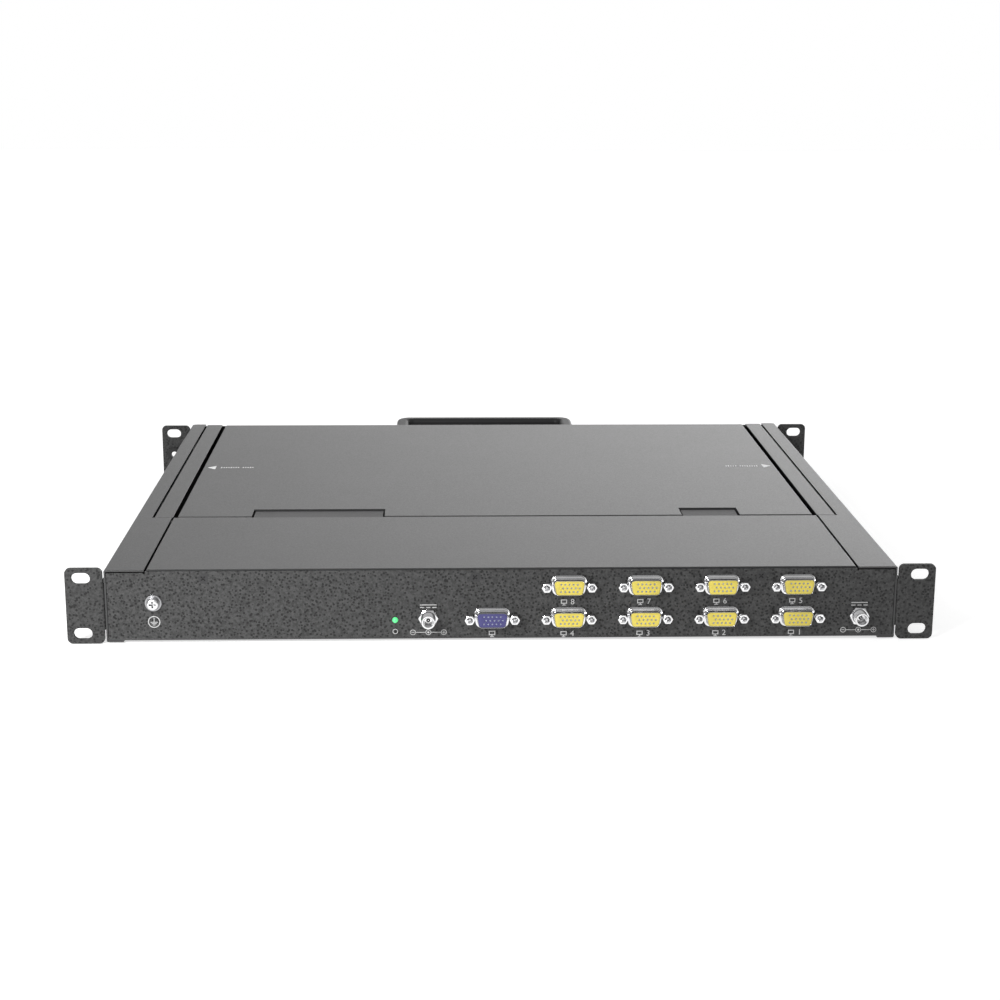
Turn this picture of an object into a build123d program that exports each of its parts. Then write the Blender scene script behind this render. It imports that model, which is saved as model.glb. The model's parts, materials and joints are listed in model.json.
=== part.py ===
from build123d import *
import os

# One-unit 19 inch rack console drawer with a built-in eight-port KVM switch.
# Millimetres. +X is the user's right, -Y faces the user, +Z is up.
# The origin is the centre of the front rack bolt pattern, on the front ears' rear face.

# ---- rack standard ----
RACK_HALF_WIDTH = 241.3
RACK_HOLE_X = 232.55
RACK_HOLE_Z = 15.875
RACK_SLOT_LENGTH = 10.3
RACK_SLOT_HEIGHT = 6.4
EAR_HALF_HEIGHT = 21.7
EAR_THICK = 2.0
EAR_CORNER = 3.0
EAR_INNER_X = 220.7
EAR_BEND_R = 1.8
INSERT_BORE_R = 2.4

# ---- chassis ----
CHASSIS_HALF = 220.0
FRONT_Y = -12.0
REAR_Y = 378.0
TOP_Z = 20.3
BOTTOM_Z = -20.3
SHEET = 1.0
BEND_R = 0.9
LIP_Z = BOTTOM_Z - SHEET
LIP_WIDTH = 9.5
FRONT_CORNER = 3.0
SEAM_Y = 264.2
FLANGE_FRONT_X = 210.0
FLANGE_REAR_X = 198.0
COVER_HALF = 197.0
COVER_REAR_Y = REAR_Y - 1.3
PANEL_RISE_HALF = 197.4
PANEL_RISE_Z = 19.45
PANEL_CORNER_Z = 18.6
PANEL_SIDE_GAP = 0.3
PANEL_RELIEF = 0.8
COVER_EDGE_Z = 10.0
BULKHEAD_Y = 268.0

# ---- drawer ----
TRAY_HALF = 208.9
TRAY_FLANGE_X = 197.5
TRAY_FLOOR_Z = -17.5
TRAY_REAR_Y = 265.5
TRAY_REAR_TOP_Z = 4.0
PANEL_THICK = 2.0
PANEL_HALF = 218.4
PANEL_TOP_Z = 19.1
PANEL_BOTTOM_Z = -20.0
PANEL_REAR_Y = FRONT_Y + PANEL_THICK
FLOOR_TOP_Z = TRAY_FLOOR_Z + SHEET

# ---- slides ----
SLIDE_WALL_X = CHASSIS_HALF - SHEET
SLIDE_SHEET = 1.2
OUTER_HALF_HEIGHT = 12.0
INNER_HALF_HEIGHT = 7.7
BALL_R = 1.5
BALL_GAP = 0.05
CAGE_SHEET = 0.5
CAGE_Y = 137.0
BALL_PITCH = 18.0
BALLS_PER_ROW = 5

# ---- lid and hinge ----
LID_HALF = 194.9
LID_FRONT_Y = -9.0
LID_REAR_Y = 262.9
LID_BOTTOM_Z = 4.3
HINGE_Y = 254.0
HINGE_Z = 15.2
PIN_R = 2.0
PIN_CLEARANCE = 0.05
BARREL_R = 3.3
NOTCH_FRONT_Y = 245.2
NOTCHES = ((-150.0, -114.0), (68.7, 149.8))
HINGE_COVER_TOP_Z = 19.4
SCREEN_WIDTH = 367.2
SCREEN_DEPTH = 229.5
SCREEN_Y = 118.2
OSD_BUTTON_X = (-40.0, -20.0, 0.0, 20.0, 40.0)
OSD_BUTTON_Y = 249.0

# ---- handle ----
HANDLE_HALF = 67.0
HANDLE_OUT_Y = -49.5
HANDLE_TOP_Z = 18.1
HANDLE_HEIGHT = 12.0
HANDLE_DEPTH = 9.0
HANDLE_CORNER = 10.0
HANDLE_SCREW_R = 2.0

# ---- keyboard ----
KEY_PITCH = 18.5
KEY_CAP = 17.2
KEY_BOTTOM_Z = -7.5
KEY_HEIGHT = 7.6
KEY_TAPER = 13.0
KEYBOARD_REAR_Y = 211.0
NUMBER_BLOCK_GAP = 6.0
DECK_TOP_Z = -4.5
DECK_THICK = 2.0
SPACE_KEY = 5.25
KEY_ROWS = (
    [1] * 15,
    [1] * 13 + [2],
    [1.5] + [1] * 12 + [1.5],
    [1.75] + [1] * 11 + [2.25],
    [2.25] + [1] * 10 + [1.75, 1],
    [1.25] * 3 + [SPACE_KEY] + [1] * 6,
)
NUMBER_ROWS = ([1] * 4, [1] * 4, [1] * 4, [1] * 4, [1] * 4, [2, 1, 1])
MAIN_BLOCK_UNITS = 15
NUMBER_BLOCK_UNITS = 4
PAD_HALF = 42.0
PAD_FRONT_Y = 22.0
PAD_REAR_Y = 76.0
PAD_BUTTON_DEPTH = 12.0
BUMPER_PLACES = ((-188, 2), (188, 2), (-188, 225), (188, 225))
BUMPER_HEIGHT = 1.6

# ---- rear connectors ----
PORT_PITCH = 42.6
PORT_FIRST_X = -36.4
PORT_COLUMNS = 4
PORT_UPPER_Z = 10.2
PORT_LOWER_Z = -8.3
CONSOLE_X = 6.2
SHELL_TOP_WIDTH = 17.8
SHELL_BOTTOM_WIDTH = 14.9
SHELL_HEIGHT = 8.5
SHELL_CORNER = 2.0
SHELL_WALL = 0.3
SHELL_OUT = 6.0
SHELL_BASE_OUT = 0.6
SHELL_BASE_GROW = 1.1
JACKSCREW_SPACING = 24.99
JACKSCREW_FLATS = 5.0
JACKSCREW_OUT = 5.5
JACKSCREW_HOLE_R = 1.2
CONTACT_R = 0.5
CONTACT_PITCH = 2.29
CONTACT_ROW_PITCH = 2.1
BARREL_JACKS = ((41.7, -8.2), (-199.6, -8.2))
BARREL_JACK_R = 3.85
BARREL_JACK_ROOT_R = 3.65
BARREL_NUT_FLATS = 9.6
BARREL_NUT_THICK = 2.2
BARREL_JACK_BORE_R = 2.75
BARREL_PIN_DEEP = 4.5
BARREL_JACK_OUT = 9.0
LED_X = 60.1
LED_Z = -9.3
LED_R = 1.6
GROUND_X = 193.4
GROUND_Z = 1.4
GROUND_WASHER_R = 4.6
GROUND_WASHER_OUT = 0.8
SPRING_WASHER_R = 3.6
SPRING_WASHER_OUT = 1.8
GROUND_HEAD_R = 3.35
GROUND_HEAD_OUT = 4.2
GROUND_HEAD_ROUND = 1.2
GROUND_DRIVE_HALF = 1.9
GROUND_DRIVE_DEEP = 1.3
COVER_SCREW_X = (165.6, 15.7, -143.7)
COVER_SCREW_Z = 15.2
COVER_DRIVE = (3.2, 1.2, 0.6)
COVER_SCREW_R = 1.5
COVER_SCREW_HEAD_R = 2.9

# ---- switch board ----
BOARD_Z = -15.0
BOARD_THICK = 1.6
BOARD_TOP_Z = BOARD_Z + BOARD_THICK
BOARD_X = (-188.0, 68.0)
BOARD_Y = (275.0, 372.0)

# ---- side screws ----
SIDE_SCREW_R = 1.5
SIDE_SCREW_HEAD_R = 3.2
FRONT_SIDE_SCREWS = ((14.0, 9.0), (14.0, -9.0), (46.0, 0.0))
REAR_SIDE_SCREWS = ((340.0, 0.0), (360.0, 0.0))
REAR_ARM_FRONT_Y = 222.0
REAR_TRAVEL = 100.0
RUN_GAP = 0.1


def block(x, y, z):
    """A box between pairs of limits."""
    size = (x[1] - x[0], y[1] - y[0], z[1] - z[0])
    return Pos(x[0], y[0], z[0]) * Box(*size, align=(Align.MIN, Align.MIN, Align.MIN))


def rod_x(y, z, radius, x):
    length = x[1] - x[0]
    return Pos(x[0] + length / 2, y, z) * Rot(0, 90, 0) * Cylinder(radius, length)


def rod_y(x, z, radius, y):
    length = y[1] - y[0]
    return Pos(x, y[0] + length / 2, z) * Rot(90, 0, 0) * Cylinder(radius, length)


def rod_z(x, y, radius, z):
    length = z[1] - z[0]
    return Pos(x, y, z[0] + length / 2) * Cylinder(radius, length)


def cone_y(x, z, radii, y):
    """A cone along Y; radii and y are (front, rear) pairs."""
    length = y[1] - y[0]
    return Pos(x, y[0] + length / 2, z) * Rot(-90, 0, 0) * Cone(radii[0], radii[1], length)


def rear_sketch(sketch, x, z, y, depth):
    """Extrudes an X-Z sketch from y towards the rear by depth."""
    plane = Plane(origin=(x, y, z), x_dir=(1, 0, 0), z_dir=(0, -1, 0))
    return extrude(plane * sketch, amount=-depth)


def flip(shape):
    """The same piece on the other side of the object."""
    return mirror(shape, about=Plane.YZ)


def both(shape):
    return [shape, flip(shape)]


def cut(shape, tools):
    for tool in tools:
        shape = shape - tool
    return shape


def save(name, *solids):
    shape = solids[0] if len(solids) == 1 else Compound(children=list(solids))
    export_step(shape, "parts/" + name + ".step")


# ---------------------------------------------------------------- chassis


def front_corner():
    """What is cut away to round the front outer corner of a side channel."""
    x = (CHASSIS_HALF - FRONT_CORNER, CHASSIS_HALF + 1)
    y = (FRONT_Y - 1, FRONT_Y + FRONT_CORNER)
    z = (LIP_Z - 1, TOP_Z + 1)
    return block(x, y, z) - rod_z(x[0], y[1], FRONT_CORNER, z)


def side_channel():
    """The right C-section side, with a top flange that is wider at the rear."""
    wall = block((SLIDE_WALL_X, CHASSIS_HALF), (FRONT_Y, REAR_Y), (LIP_Z, TOP_Z))
    front_flange = block((FLANGE_FRONT_X, CHASSIS_HALF), (FRONT_Y, SEAM_Y), (TOP_Z - SHEET, TOP_Z))
    rear_flange = block((FLANGE_REAR_X, CHASSIS_HALF), (SEAM_Y, REAR_Y), (TOP_Z - SHEET, TOP_Z))
    lip = block((CHASSIS_HALF - LIP_WIDTH, CHASSIS_HALF), (FRONT_Y, REAR_Y), (LIP_Z, BOTTOM_Z))
    body = wall + front_flange + rear_flange + lip
    outer_edges = [e for e in body.edges().filter_by(Axis.Y) if e.center().X > CHASSIS_HALF - 0.01]
    body = fillet(outer_edges, BEND_R)
    body = body - front_corner()
    holes = [rod_x(y, z, SIDE_SCREW_R, (SLIDE_WALL_X - 1, CHASSIS_HALF + 1))
             for y, z in FRONT_SIDE_SCREWS + REAR_SIDE_SCREWS]
    return cut(body, holes)


def base_pan():
    """The floor, whose rear edge shows as a line under the rear panel."""
    return block((-SLIDE_WALL_X, SLIDE_WALL_X), (PANEL_REAR_Y + 0.5, REAR_Y), (BOTTOM_Z, BOTTOM_Z + SHEET))


def shell_outline(grow=0.0):
    """The D outline of a high-density connector, its wide side up."""
    half_top = SHELL_TOP_WIDTH / 2 + grow
    half_bottom = SHELL_BOTTOM_WIDTH / 2 + grow
    half_height = SHELL_HEIGHT / 2 + grow
    corners = [(-half_top, half_height), (half_top, half_height),
               (half_bottom, -half_height), (-half_bottom, -half_height)]
    outline = make_face(Polyline(*corners, close=True))
    return fillet(outline.vertices(), SHELL_CORNER + grow)


def ports():
    """Centres of every high-density port: the eight computers, then the console."""
    columns = [PORT_FIRST_X - i * PORT_PITCH for i in range(PORT_COLUMNS)]
    computers = [(x, z) for z in (PORT_UPPER_Z, PORT_LOWER_Z) for x in columns]
    return computers, (CONSOLE_X, PORT_LOWER_Z)


def rear_panel():
    """The connector panel: its middle stands up behind the cover, its ends stay under the side flanges."""
    panel_y = (REAR_Y - SHEET, REAR_Y)
    half = SLIDE_WALL_X - PANEL_SIDE_GAP
    bottom = BOTTOM_Z + SHEET
    panel = block((-half, half), panel_y, (bottom, PANEL_CORNER_Z))
    panel = panel + block((-PANEL_RISE_HALF, PANEL_RISE_HALF), panel_y, (bottom, PANEL_RISE_Z))
    computers, console = ports()
    through = (REAR_Y - 2 * SHEET, REAR_Y + SHEET)
    relief = (PANEL_RISE_HALF, PANEL_RISE_HALF + PANEL_RELIEF)
    tools = both(block(relief, through, (PANEL_CORNER_Z - PANEL_RELIEF, TOP_Z)))
    for x, z in computers + [console]:
        tools.append(rear_sketch(shell_outline(0.05), x, z, through[0], through[1] - through[0]))
        for side in (-1, 1):
            tools.append(rod_y(x + side * JACKSCREW_SPACING / 2, z, 1.6, through))
    for x, z in BARREL_JACKS:
        tools.append(rod_y(x, z, BARREL_JACK_ROOT_R + 0.05, through))
    tools.append(rod_y(LED_X, LED_Z, LED_R + 0.05, through))
    tools.append(rod_y(GROUND_X, GROUND_Z, 2.05, through))
    for x in COVER_SCREW_X:
        tools.append(rod_y(x, COVER_SCREW_Z, COVER_SCREW_R, through))
        tools.append(cone_y(x, COVER_SCREW_Z, (COVER_SCREW_R, COVER_SCREW_HEAD_R), panel_y))
    return cut(panel, tools)


def rear_cover():
    """The fixed lid of the switch bay, with turned-down edges on all four sides."""
    top = block((-COVER_HALF, COVER_HALF), (SEAM_Y, COVER_REAR_Y), (TOP_Z - SHEET, TOP_Z))
    side = block((COVER_HALF - SHEET, COVER_HALF), (BULKHEAD_Y + 2, COVER_REAR_Y - 4), (COVER_EDGE_Z, TOP_Z))
    front = block((-COVER_HALF, COVER_HALF), (SEAM_Y, SEAM_Y + SHEET), (COVER_EDGE_Z + 4, TOP_Z))
    tab_y = (REAR_Y - 2 * SHEET, REAR_Y - SHEET)
    body = top + front + side + flip(side)
    top_edges = [e for e in body.edges() if e.center().Z > TOP_Z - 0.01]
    bends = [e for e in top_edges if e.center().Y < SEAM_Y + 0.01 or abs(e.center().X) > COVER_HALF - 0.01]
    body = fillet(bends, BEND_R)
    for x in COVER_SCREW_X:
        body = body + block((x - 6, x + 6), tab_y, (COVER_EDGE_Z, TOP_Z - SHEET))
        body = body - rod_y(x, COVER_SCREW_Z, COVER_SCREW_R, tab_y)
    return body


def rear_cover_screws():
    screws = []
    for x in COVER_SCREW_X:
        head = cone_y(x, COVER_SCREW_Z, (COVER_SCREW_R, COVER_SCREW_HEAD_R), (REAR_Y - SHEET, REAR_Y))
        shank = rod_y(x, COVER_SCREW_Z, COVER_SCREW_R, (REAR_Y - 6, REAR_Y - SHEET))
        drive = [Pos(x, REAR_Y, COVER_SCREW_Z) * Rot(0, angle, 0) * Box(*COVER_DRIVE) for angle in (45, -45)]
        screws.append(cut(head + shank, drive))
    return screws


def bulkhead():
    """The wall between the drawer space and the switch bay."""
    return block((-205, 205), (BULKHEAD_Y, BULKHEAD_Y + SHEET), (BOTTOM_Z + SHEET, TOP_Z - SHEET - RUN_GAP))


# ---------------------------------------------------------------- rack ears


def rack_slot(z, y):
    slot = SlotOverall(RACK_SLOT_LENGTH, RACK_SLOT_HEIGHT)
    return rear_sketch(slot, RACK_HOLE_X, z, y[0] - 1, y[1] - y[0] + 2)


def ear_plate(y):
    width = RACK_HALF_WIDTH - EAR_INNER_X
    outline = Rectangle(width, 2 * EAR_HALF_HEIGHT)
    outline = fillet(outline.vertices(), EAR_CORNER)
    plate = rear_sketch(outline, EAR_INNER_X + width / 2, 0, y[0], y[1] - y[0])
    return cut(plate, [rack_slot(RACK_HOLE_Z, y), rack_slot(-RACK_HOLE_Z, y)])


def ear_arm(y, z, bend_y):
    """The arm along the chassis side, rounded where it bends into the plate at bend_y."""
    arm = block((CHASSIS_HALF + RUN_GAP, CHASSIS_HALF + RUN_GAP + EAR_THICK), y, z)
    inner_edges = arm.edges().filter_by(Axis.Z).group_by(Axis.X)[0]
    return fillet([e for e in inner_edges if abs(e.center().Y - bend_y) < 0.01], EAR_BEND_R)


def bent_ear(plate_y, arm_y, arm_z, bend_y):
    """A plate and its arm, with the plate relieved on both sides of the bend."""
    relief = block((CHASSIS_HALF, CHASSIS_HALF + RUN_GAP + EAR_THICK), plate_y, arm_z)
    return ear_plate(plate_y) - relief + ear_arm(arm_y, arm_z, bend_y)


def front_ear():
    body = bent_ear((-EAR_THICK, 0), (-EAR_THICK, 60), (-17, 17), -EAR_THICK)
    centre_hole = rod_y(RACK_HOLE_X, 0, 3.6, (-EAR_THICK - 1, 1))
    holes = [rod_x(y, z, SIDE_SCREW_R, (CHASSIS_HALF - 1, CHASSIS_HALF + 5)) for y, z in FRONT_SIDE_SCREWS]
    return cut(body, [centre_hole] + holes)


def rear_ear():
    """The sliding rear bracket, whose arm is slotted over its clamp screws."""
    body = bent_ear((REAR_Y - 1, REAR_Y + 1), (REAR_ARM_FRONT_Y, REAR_Y + 1), (-14, 13), REAR_Y + 1)
    slot_rear = max(y for y, z in REAR_SIDE_SCREWS) + SIDE_SCREW_R + 0.5
    slot_front = min(y for y, z in REAR_SIDE_SCREWS) - REAR_TRAVEL - SIDE_SCREW_R - 0.5
    height = 2 * SIDE_SCREW_R + 0.6
    x = (CHASSIS_HALF, CHASSIS_HALF + 4)
    slot = block(x, (slot_front, slot_rear), (-height / 2, height / 2))
    return cut(body, [slot])


def clinch_nut():
    """A flanged, threaded insert in the middle of a front ear."""
    flange = rod_y(RACK_HOLE_X, 0, 5.2, (0, 1.6))
    neck = rod_y(RACK_HOLE_X, 0, 3.6, (-EAR_THICK, 0))
    bore = rod_y(RACK_HOLE_X, 0, INSERT_BORE_R, (-EAR_THICK - 1, 3))
    return flange + neck - bore


def side_screw(y, z):
    """A pan-head screw in the right side, its head outward."""
    seat = CHASSIS_HALF + RUN_GAP + EAR_THICK + RUN_GAP
    head = rod_x(y, z, SIDE_SCREW_HEAD_R, (seat, seat + 1.8))
    rim = head.edges().filter_by(GeomType.CIRCLE).sort_by(Axis.X)[-1]
    head = fillet(rim, 0.8)
    shank = rod_x(y, z, SIDE_SCREW_R - 0.02, (SLIDE_WALL_X + 0.05, seat))
    return head + shank


# ---------------------------------------------------------------- slides


def slide_profile(x, z):
    """A block on the right, from depths measured inward from the chassis wall."""
    return (SLIDE_WALL_X - x[1], SLIDE_WALL_X - x[0]), z


def slide_block(depth, y, z):
    x, z = slide_profile(depth, z)
    return block(x, y, z)


def outer_rail():
    y = (-8.0, 376.0)
    body = slide_block((0, SLIDE_SHEET), y, (-OUTER_HALF_HEIGHT, OUTER_HALF_HEIGHT))
    lip = slide_block((0, 7.4), y, (OUTER_HALF_HEIGHT - SLIDE_SHEET, OUTER_HALF_HEIGHT))
    return body + lip + mirror(lip, about=Plane.XY)


def inner_rail():
    y = (-8.0, 375.0)
    deep = SLIDE_WALL_X - TRAY_HALF
    body = slide_block((deep - SLIDE_SHEET, deep), y, (-INNER_HALF_HEIGHT, INNER_HALF_HEIGHT))
    lip = slide_block((2.8, deep), y, (INNER_HALF_HEIGHT - SLIDE_SHEET, INNER_HALF_HEIGHT))
    return body + lip + mirror(lip, about=Plane.XY)


def ball_cage():
    """The steel ball retainer between the two rails; its balls are part of the solid."""
    length = (BALLS_PER_ROW - 1) * BALL_PITCH + 18.0
    y = (CAGE_Y, CAGE_Y + length)
    ball_z = INNER_HALF_HEIGHT + BALL_GAP + BALL_R
    body = slide_block((1.7, 1.7 + CAGE_SHEET), y, (-ball_z - CAGE_SHEET / 2, ball_z + CAGE_SHEET / 2))
    for side in (-1, 1):
        middle = side * ball_z
        body = body + slide_block((1.7, 6.4), y, (middle - CAGE_SHEET / 2, middle + CAGE_SHEET / 2))
        for i in range(BALLS_PER_ROW):
            centre = Pos(SLIDE_WALL_X - 4.6, CAGE_Y + 9.0 + i * BALL_PITCH, middle)
            body = body + centre * Sphere(BALL_R)
    return body


# ---------------------------------------------------------------- switch electronics


def switch_board():
    board = block(BOARD_X, BOARD_Y, (BOARD_Z, BOARD_TOP_Z))
    return board


def board_chips():
    top = BOARD_TOP_Z
    chips = [block((-72, -48), (300, 324), (top, top + 2.2))]
    for i in range(8):
        x = -176 + i * 21.0
        chips.append(block((x, x + 7), (334, 344), (top, top + 1.6)))
    for x in (-150, -120, -20, 10):
        chips.append(block((x, x + 14), (304, 318), (top, top + 1.5)))
    for x in (32, 44, 56):
        chips.append(rod_z(x, 300, 4.0, (top, top + 11)))
    return chips


def board_standoffs():
    return [rod_z(x, y, 3.0, (BOTTOM_Z + SHEET, BOARD_Z))
            for x in (-182, -60, 62) for y in (281, 352)]


def port_housings():
    """The moulded bodies behind the panel: four stacked pairs and the single console port."""
    y = (358.0, REAR_Y - 2 * SHEET - RUN_GAP)
    computers, console = ports()
    stacks = [block((x - 15.5, x + 15.5), y, (BOARD_TOP_Z, 16.0)) for x, z in computers[:PORT_COLUMNS]]
    single = block((console[0] - 15.5, console[0] + 15.5), y, (BOARD_TOP_Z, PORT_LOWER_Z + 6.0))
    bodies = stacks + [single]
    pockets = []
    for x, z in computers + [console]:
        pockets.append(rear_sketch(shell_outline(0.05), x, z, y[1] - 6, 7))
        for side in (-1, 1):
            pockets.append(rod_y(x + side * JACKSCREW_SPACING / 2, z, 1.45, (y[1] - 6, y[1] + 1)))
    return [cut(body, pockets) for body in bodies]


def port_shell(x, z):
    """A drawn steel D shell with a shallow step where it meets the panel."""
    inside_y = REAR_Y - SHEET - 6.0
    tube = rear_sketch(shell_outline(), x, z, inside_y, REAR_Y + SHELL_OUT - inside_y)
    base = rear_sketch(shell_outline(SHELL_BASE_GROW), x, z, REAR_Y, SHELL_BASE_OUT)
    bore = rear_sketch(shell_outline(-SHELL_WALL), x, z, inside_y - 1, REAR_Y + SHELL_OUT - inside_y + 2)
    return tube + base - bore


def contact_places():
    """The fifteen contacts: three rows of five, the middle row half a pitch over."""
    for row in (-1, 0, 1):
        shift = -CONTACT_PITCH / 2 if row == 0 else 0.0
        for i in range(-2, 3):
            yield i * CONTACT_PITCH + shift, row * CONTACT_ROW_PITCH


def port_insert(x, z):
    """The coloured plastic face, with its fifteen contact holes."""
    y = (REAR_Y - SHEET - 6.0, REAR_Y + SHELL_OUT - 0.3)
    body = rear_sketch(shell_outline(-SHELL_WALL), x, z, y[0], y[1] - y[0])
    holes = [rod_y(x + dx, z + dz, CONTACT_R, (y[1] - 4, y[1] + 1)) for dx, dz in contact_places()]
    return cut(body, holes)


def jackscrews():
    """Hexagonal screw locks either side of every port."""
    computers, console = ports()
    made = []
    for x, z in computers + [console]:
        for side in (-1, 1):
            at = x + side * JACKSCREW_SPACING / 2
            hexagon = RegularPolygon(JACKSCREW_FLATS / 2, 6, major_radius=False)
            head = rear_sketch(hexagon, at, z, REAR_Y, JACKSCREW_OUT)
            shank = rod_y(at, z, 1.4, (REAR_Y - SHEET - 5.0, REAR_Y))
            hole = rod_y(at, z, JACKSCREW_HOLE_R, (REAR_Y + 0.5, REAR_Y + JACKSCREW_OUT + 1))
            made.append(head + shank - hole)
    return made


def barrel_jack(x, z):
    """A threaded barrel power inlet and its block behind the panel."""
    neck = rod_y(x, z, BARREL_JACK_ROOT_R, (REAR_Y - SHEET - RUN_GAP, REAR_Y + BARREL_NUT_THICK))
    barrel = rod_y(x, z, BARREL_JACK_R, (REAR_Y + BARREL_NUT_THICK, REAR_Y + BARREL_JACK_OUT))
    body = block((x - 5, x + 5), (363, REAR_Y - SHEET - RUN_GAP), (BOARD_TOP_Z, z + 5.5))
    bore = rod_y(x, z, BARREL_JACK_BORE_R, (367, REAR_Y + BARREL_JACK_OUT + 1))
    return neck + barrel + body - bore


def barrel_jack_pin(x, z):
    return rod_y(x, z, 1.05, (367, REAR_Y + BARREL_JACK_OUT - BARREL_PIN_DEEP))


def barrel_jack_nut(x, z):
    hexagon = RegularPolygon(BARREL_NUT_FLATS / 2, 6, major_radius=False)
    nut = rear_sketch(hexagon, x, z, REAR_Y, BARREL_NUT_THICK)
    return nut - rod_y(x, z, BARREL_JACK_ROOT_R, (REAR_Y - 1, REAR_Y + 4))


def jack_board():
    return block((-206, -190), (345, 374), (BOARD_Z, BOARD_TOP_Z))


def jack_board_standoffs():
    return [rod_z(-198, y, 3.0, (BOTTOM_Z + SHEET, BOARD_Z)) for y in (350, 368)]


def power_led():
    stem = rod_y(LED_X, LED_Z, LED_R, (368, REAR_Y + 0.1))
    dome = Pos(LED_X, REAR_Y + 0.1, LED_Z) * Sphere(LED_R)
    return stem + dome


def ground_screw():
    """A pan-head screw with a cross recess."""
    seat = REAR_Y + SPRING_WASHER_OUT
    head = rod_y(GROUND_X, GROUND_Z, GROUND_HEAD_R, (seat, REAR_Y + GROUND_HEAD_OUT))
    rim = head.edges().filter_by(GeomType.CIRCLE).sort_by(Axis.Y)[-1]
    head = fillet(rim, GROUND_HEAD_ROUND)
    shank = rod_y(GROUND_X, GROUND_Z, 2.0, (REAR_Y - 5, seat))
    face = (REAR_Y + GROUND_HEAD_OUT - GROUND_DRIVE_DEEP, REAR_Y + GROUND_HEAD_OUT + 1)
    half = GROUND_DRIVE_HALF
    drive = [block((GROUND_X - half, GROUND_X + half), face, (GROUND_Z - 0.45, GROUND_Z + 0.45)),
             block((GROUND_X - 0.45, GROUND_X + 0.45), face, (GROUND_Z - half, GROUND_Z + half))]
    return cut(head + shank, drive)


def ground_washer():
    """A flat washer with a smaller spring washer on it."""
    washer = rod_y(GROUND_X, GROUND_Z, GROUND_WASHER_R, (REAR_Y, REAR_Y + GROUND_WASHER_OUT))
    washer = washer + rod_y(GROUND_X, GROUND_Z, SPRING_WASHER_R, (REAR_Y, REAR_Y + SPRING_WASHER_OUT))
    return washer - rod_y(GROUND_X, GROUND_Z, 2.05, (REAR_Y - 1, REAR_Y + 2))


# ---------------------------------------------------------------- drawer


def drawer_tray():
    y = (PANEL_REAR_Y, TRAY_REAR_Y)
    wall_top = TOP_Z - 2.5
    floor = block((-TRAY_HALF, TRAY_HALF), y, (TRAY_FLOOR_Z, FLOOR_TOP_Z))
    wall = block((TRAY_HALF - SHEET, TRAY_HALF), y, (TRAY_FLOOR_Z, wall_top))
    upper = block((TRAY_HALF - SHEET, TRAY_HALF), (PANEL_REAR_Y, SEAM_Y - 0.5), (wall_top, TOP_Z))
    flange = block((TRAY_FLANGE_X, TRAY_HALF), (PANEL_REAR_Y, SEAM_Y - 0.5), (TOP_Z - SHEET, TOP_Z))
    rear = block((-TRAY_HALF, TRAY_HALF), (TRAY_REAR_Y - SHEET, TRAY_REAR_Y), (TRAY_FLOOR_Z, TRAY_REAR_TOP_Z))
    front = block((-TRAY_HALF, TRAY_HALF), (PANEL_REAR_Y, PANEL_REAR_Y + SHEET), (TRAY_FLOOR_Z, -6))
    side = wall + upper + flange
    outer_edges = [e for e in side.edges().filter_by(Axis.Y) if e.center().X > TRAY_HALF - 0.01]
    side = fillet([e for e in outer_edges if e.center().Z > TOP_Z - 0.01], BEND_R)
    return floor + side + flip(side) + rear + front


def front_panel():
    y = (FRONT_Y, PANEL_REAR_Y)
    panel = block((-PANEL_HALF, PANEL_HALF), y, (PANEL_BOTTOM_Z, PANEL_TOP_Z))
    tools = []
    for side in (-1, 1):
        x = side * (HANDLE_HALF - HANDLE_DEPTH / 2)
        z = HANDLE_TOP_Z - HANDLE_HEIGHT / 2
        tools.append(rod_y(x, z, HANDLE_SCREW_R, (FRONT_Y - 1, PANEL_REAR_Y + 1)))
        tools.append(cone_y(x, z, (HANDLE_SCREW_R, HANDLE_SCREW_R + 1.6), (PANEL_REAR_Y - 1.6, PANEL_REAR_Y)))
    return cut(panel, tools)


def drawer_handle():
    """A bow handle of rounded section, bolted through the front panel."""
    z = (HANDLE_TOP_Z - HANDLE_HEIGHT, HANDLE_TOP_Z)
    outer = block((-HANDLE_HALF, HANDLE_HALF), (HANDLE_OUT_Y, FRONT_Y), z)
    corners = outer.edges().filter_by(Axis.Z).group_by(Axis.Y)[0]
    outer = fillet(corners, HANDLE_CORNER)
    reach = HANDLE_HALF - HANDLE_DEPTH
    inner = block((-reach, reach), (HANDLE_OUT_Y + HANDLE_DEPTH, FRONT_Y + 5), (z[0] - 1, z[1] + 1))
    corners = inner.edges().filter_by(Axis.Z).group_by(Axis.Y)[0]
    inner = fillet(corners, HANDLE_CORNER - HANDLE_DEPTH + 3)
    bow = outer - inner
    level = [e for e in bow.edges() if abs(e.center().Y - FRONT_Y) > 0.5
             and (abs(e.center().Z - z[0]) < 0.01 or abs(e.center().Z - z[1]) < 0.01)]
    bow = fillet(level, 2.8)
    middle = (z[0] + z[1]) / 2
    screw_x = HANDLE_HALF - HANDLE_DEPTH / 2
    holes = [rod_y(side * screw_x, middle, HANDLE_SCREW_R, (FRONT_Y - 12, FRONT_Y + 1))
             for side in (-1, 1)]
    return cut(bow, holes)


def handle_screws():
    z = HANDLE_TOP_Z - HANDLE_HEIGHT / 2
    made = []
    for side in (-1, 1):
        x = side * (HANDLE_HALF - HANDLE_DEPTH / 2)
        head = cone_y(x, z, (HANDLE_SCREW_R, HANDLE_SCREW_R + 1.6), (PANEL_REAR_Y - 1.6, PANEL_REAR_Y))
        shank = rod_y(x, z, HANDLE_SCREW_R, (FRONT_Y - 11, PANEL_REAR_Y - 1.6))
        made.append(head + shank)
    return made


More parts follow.
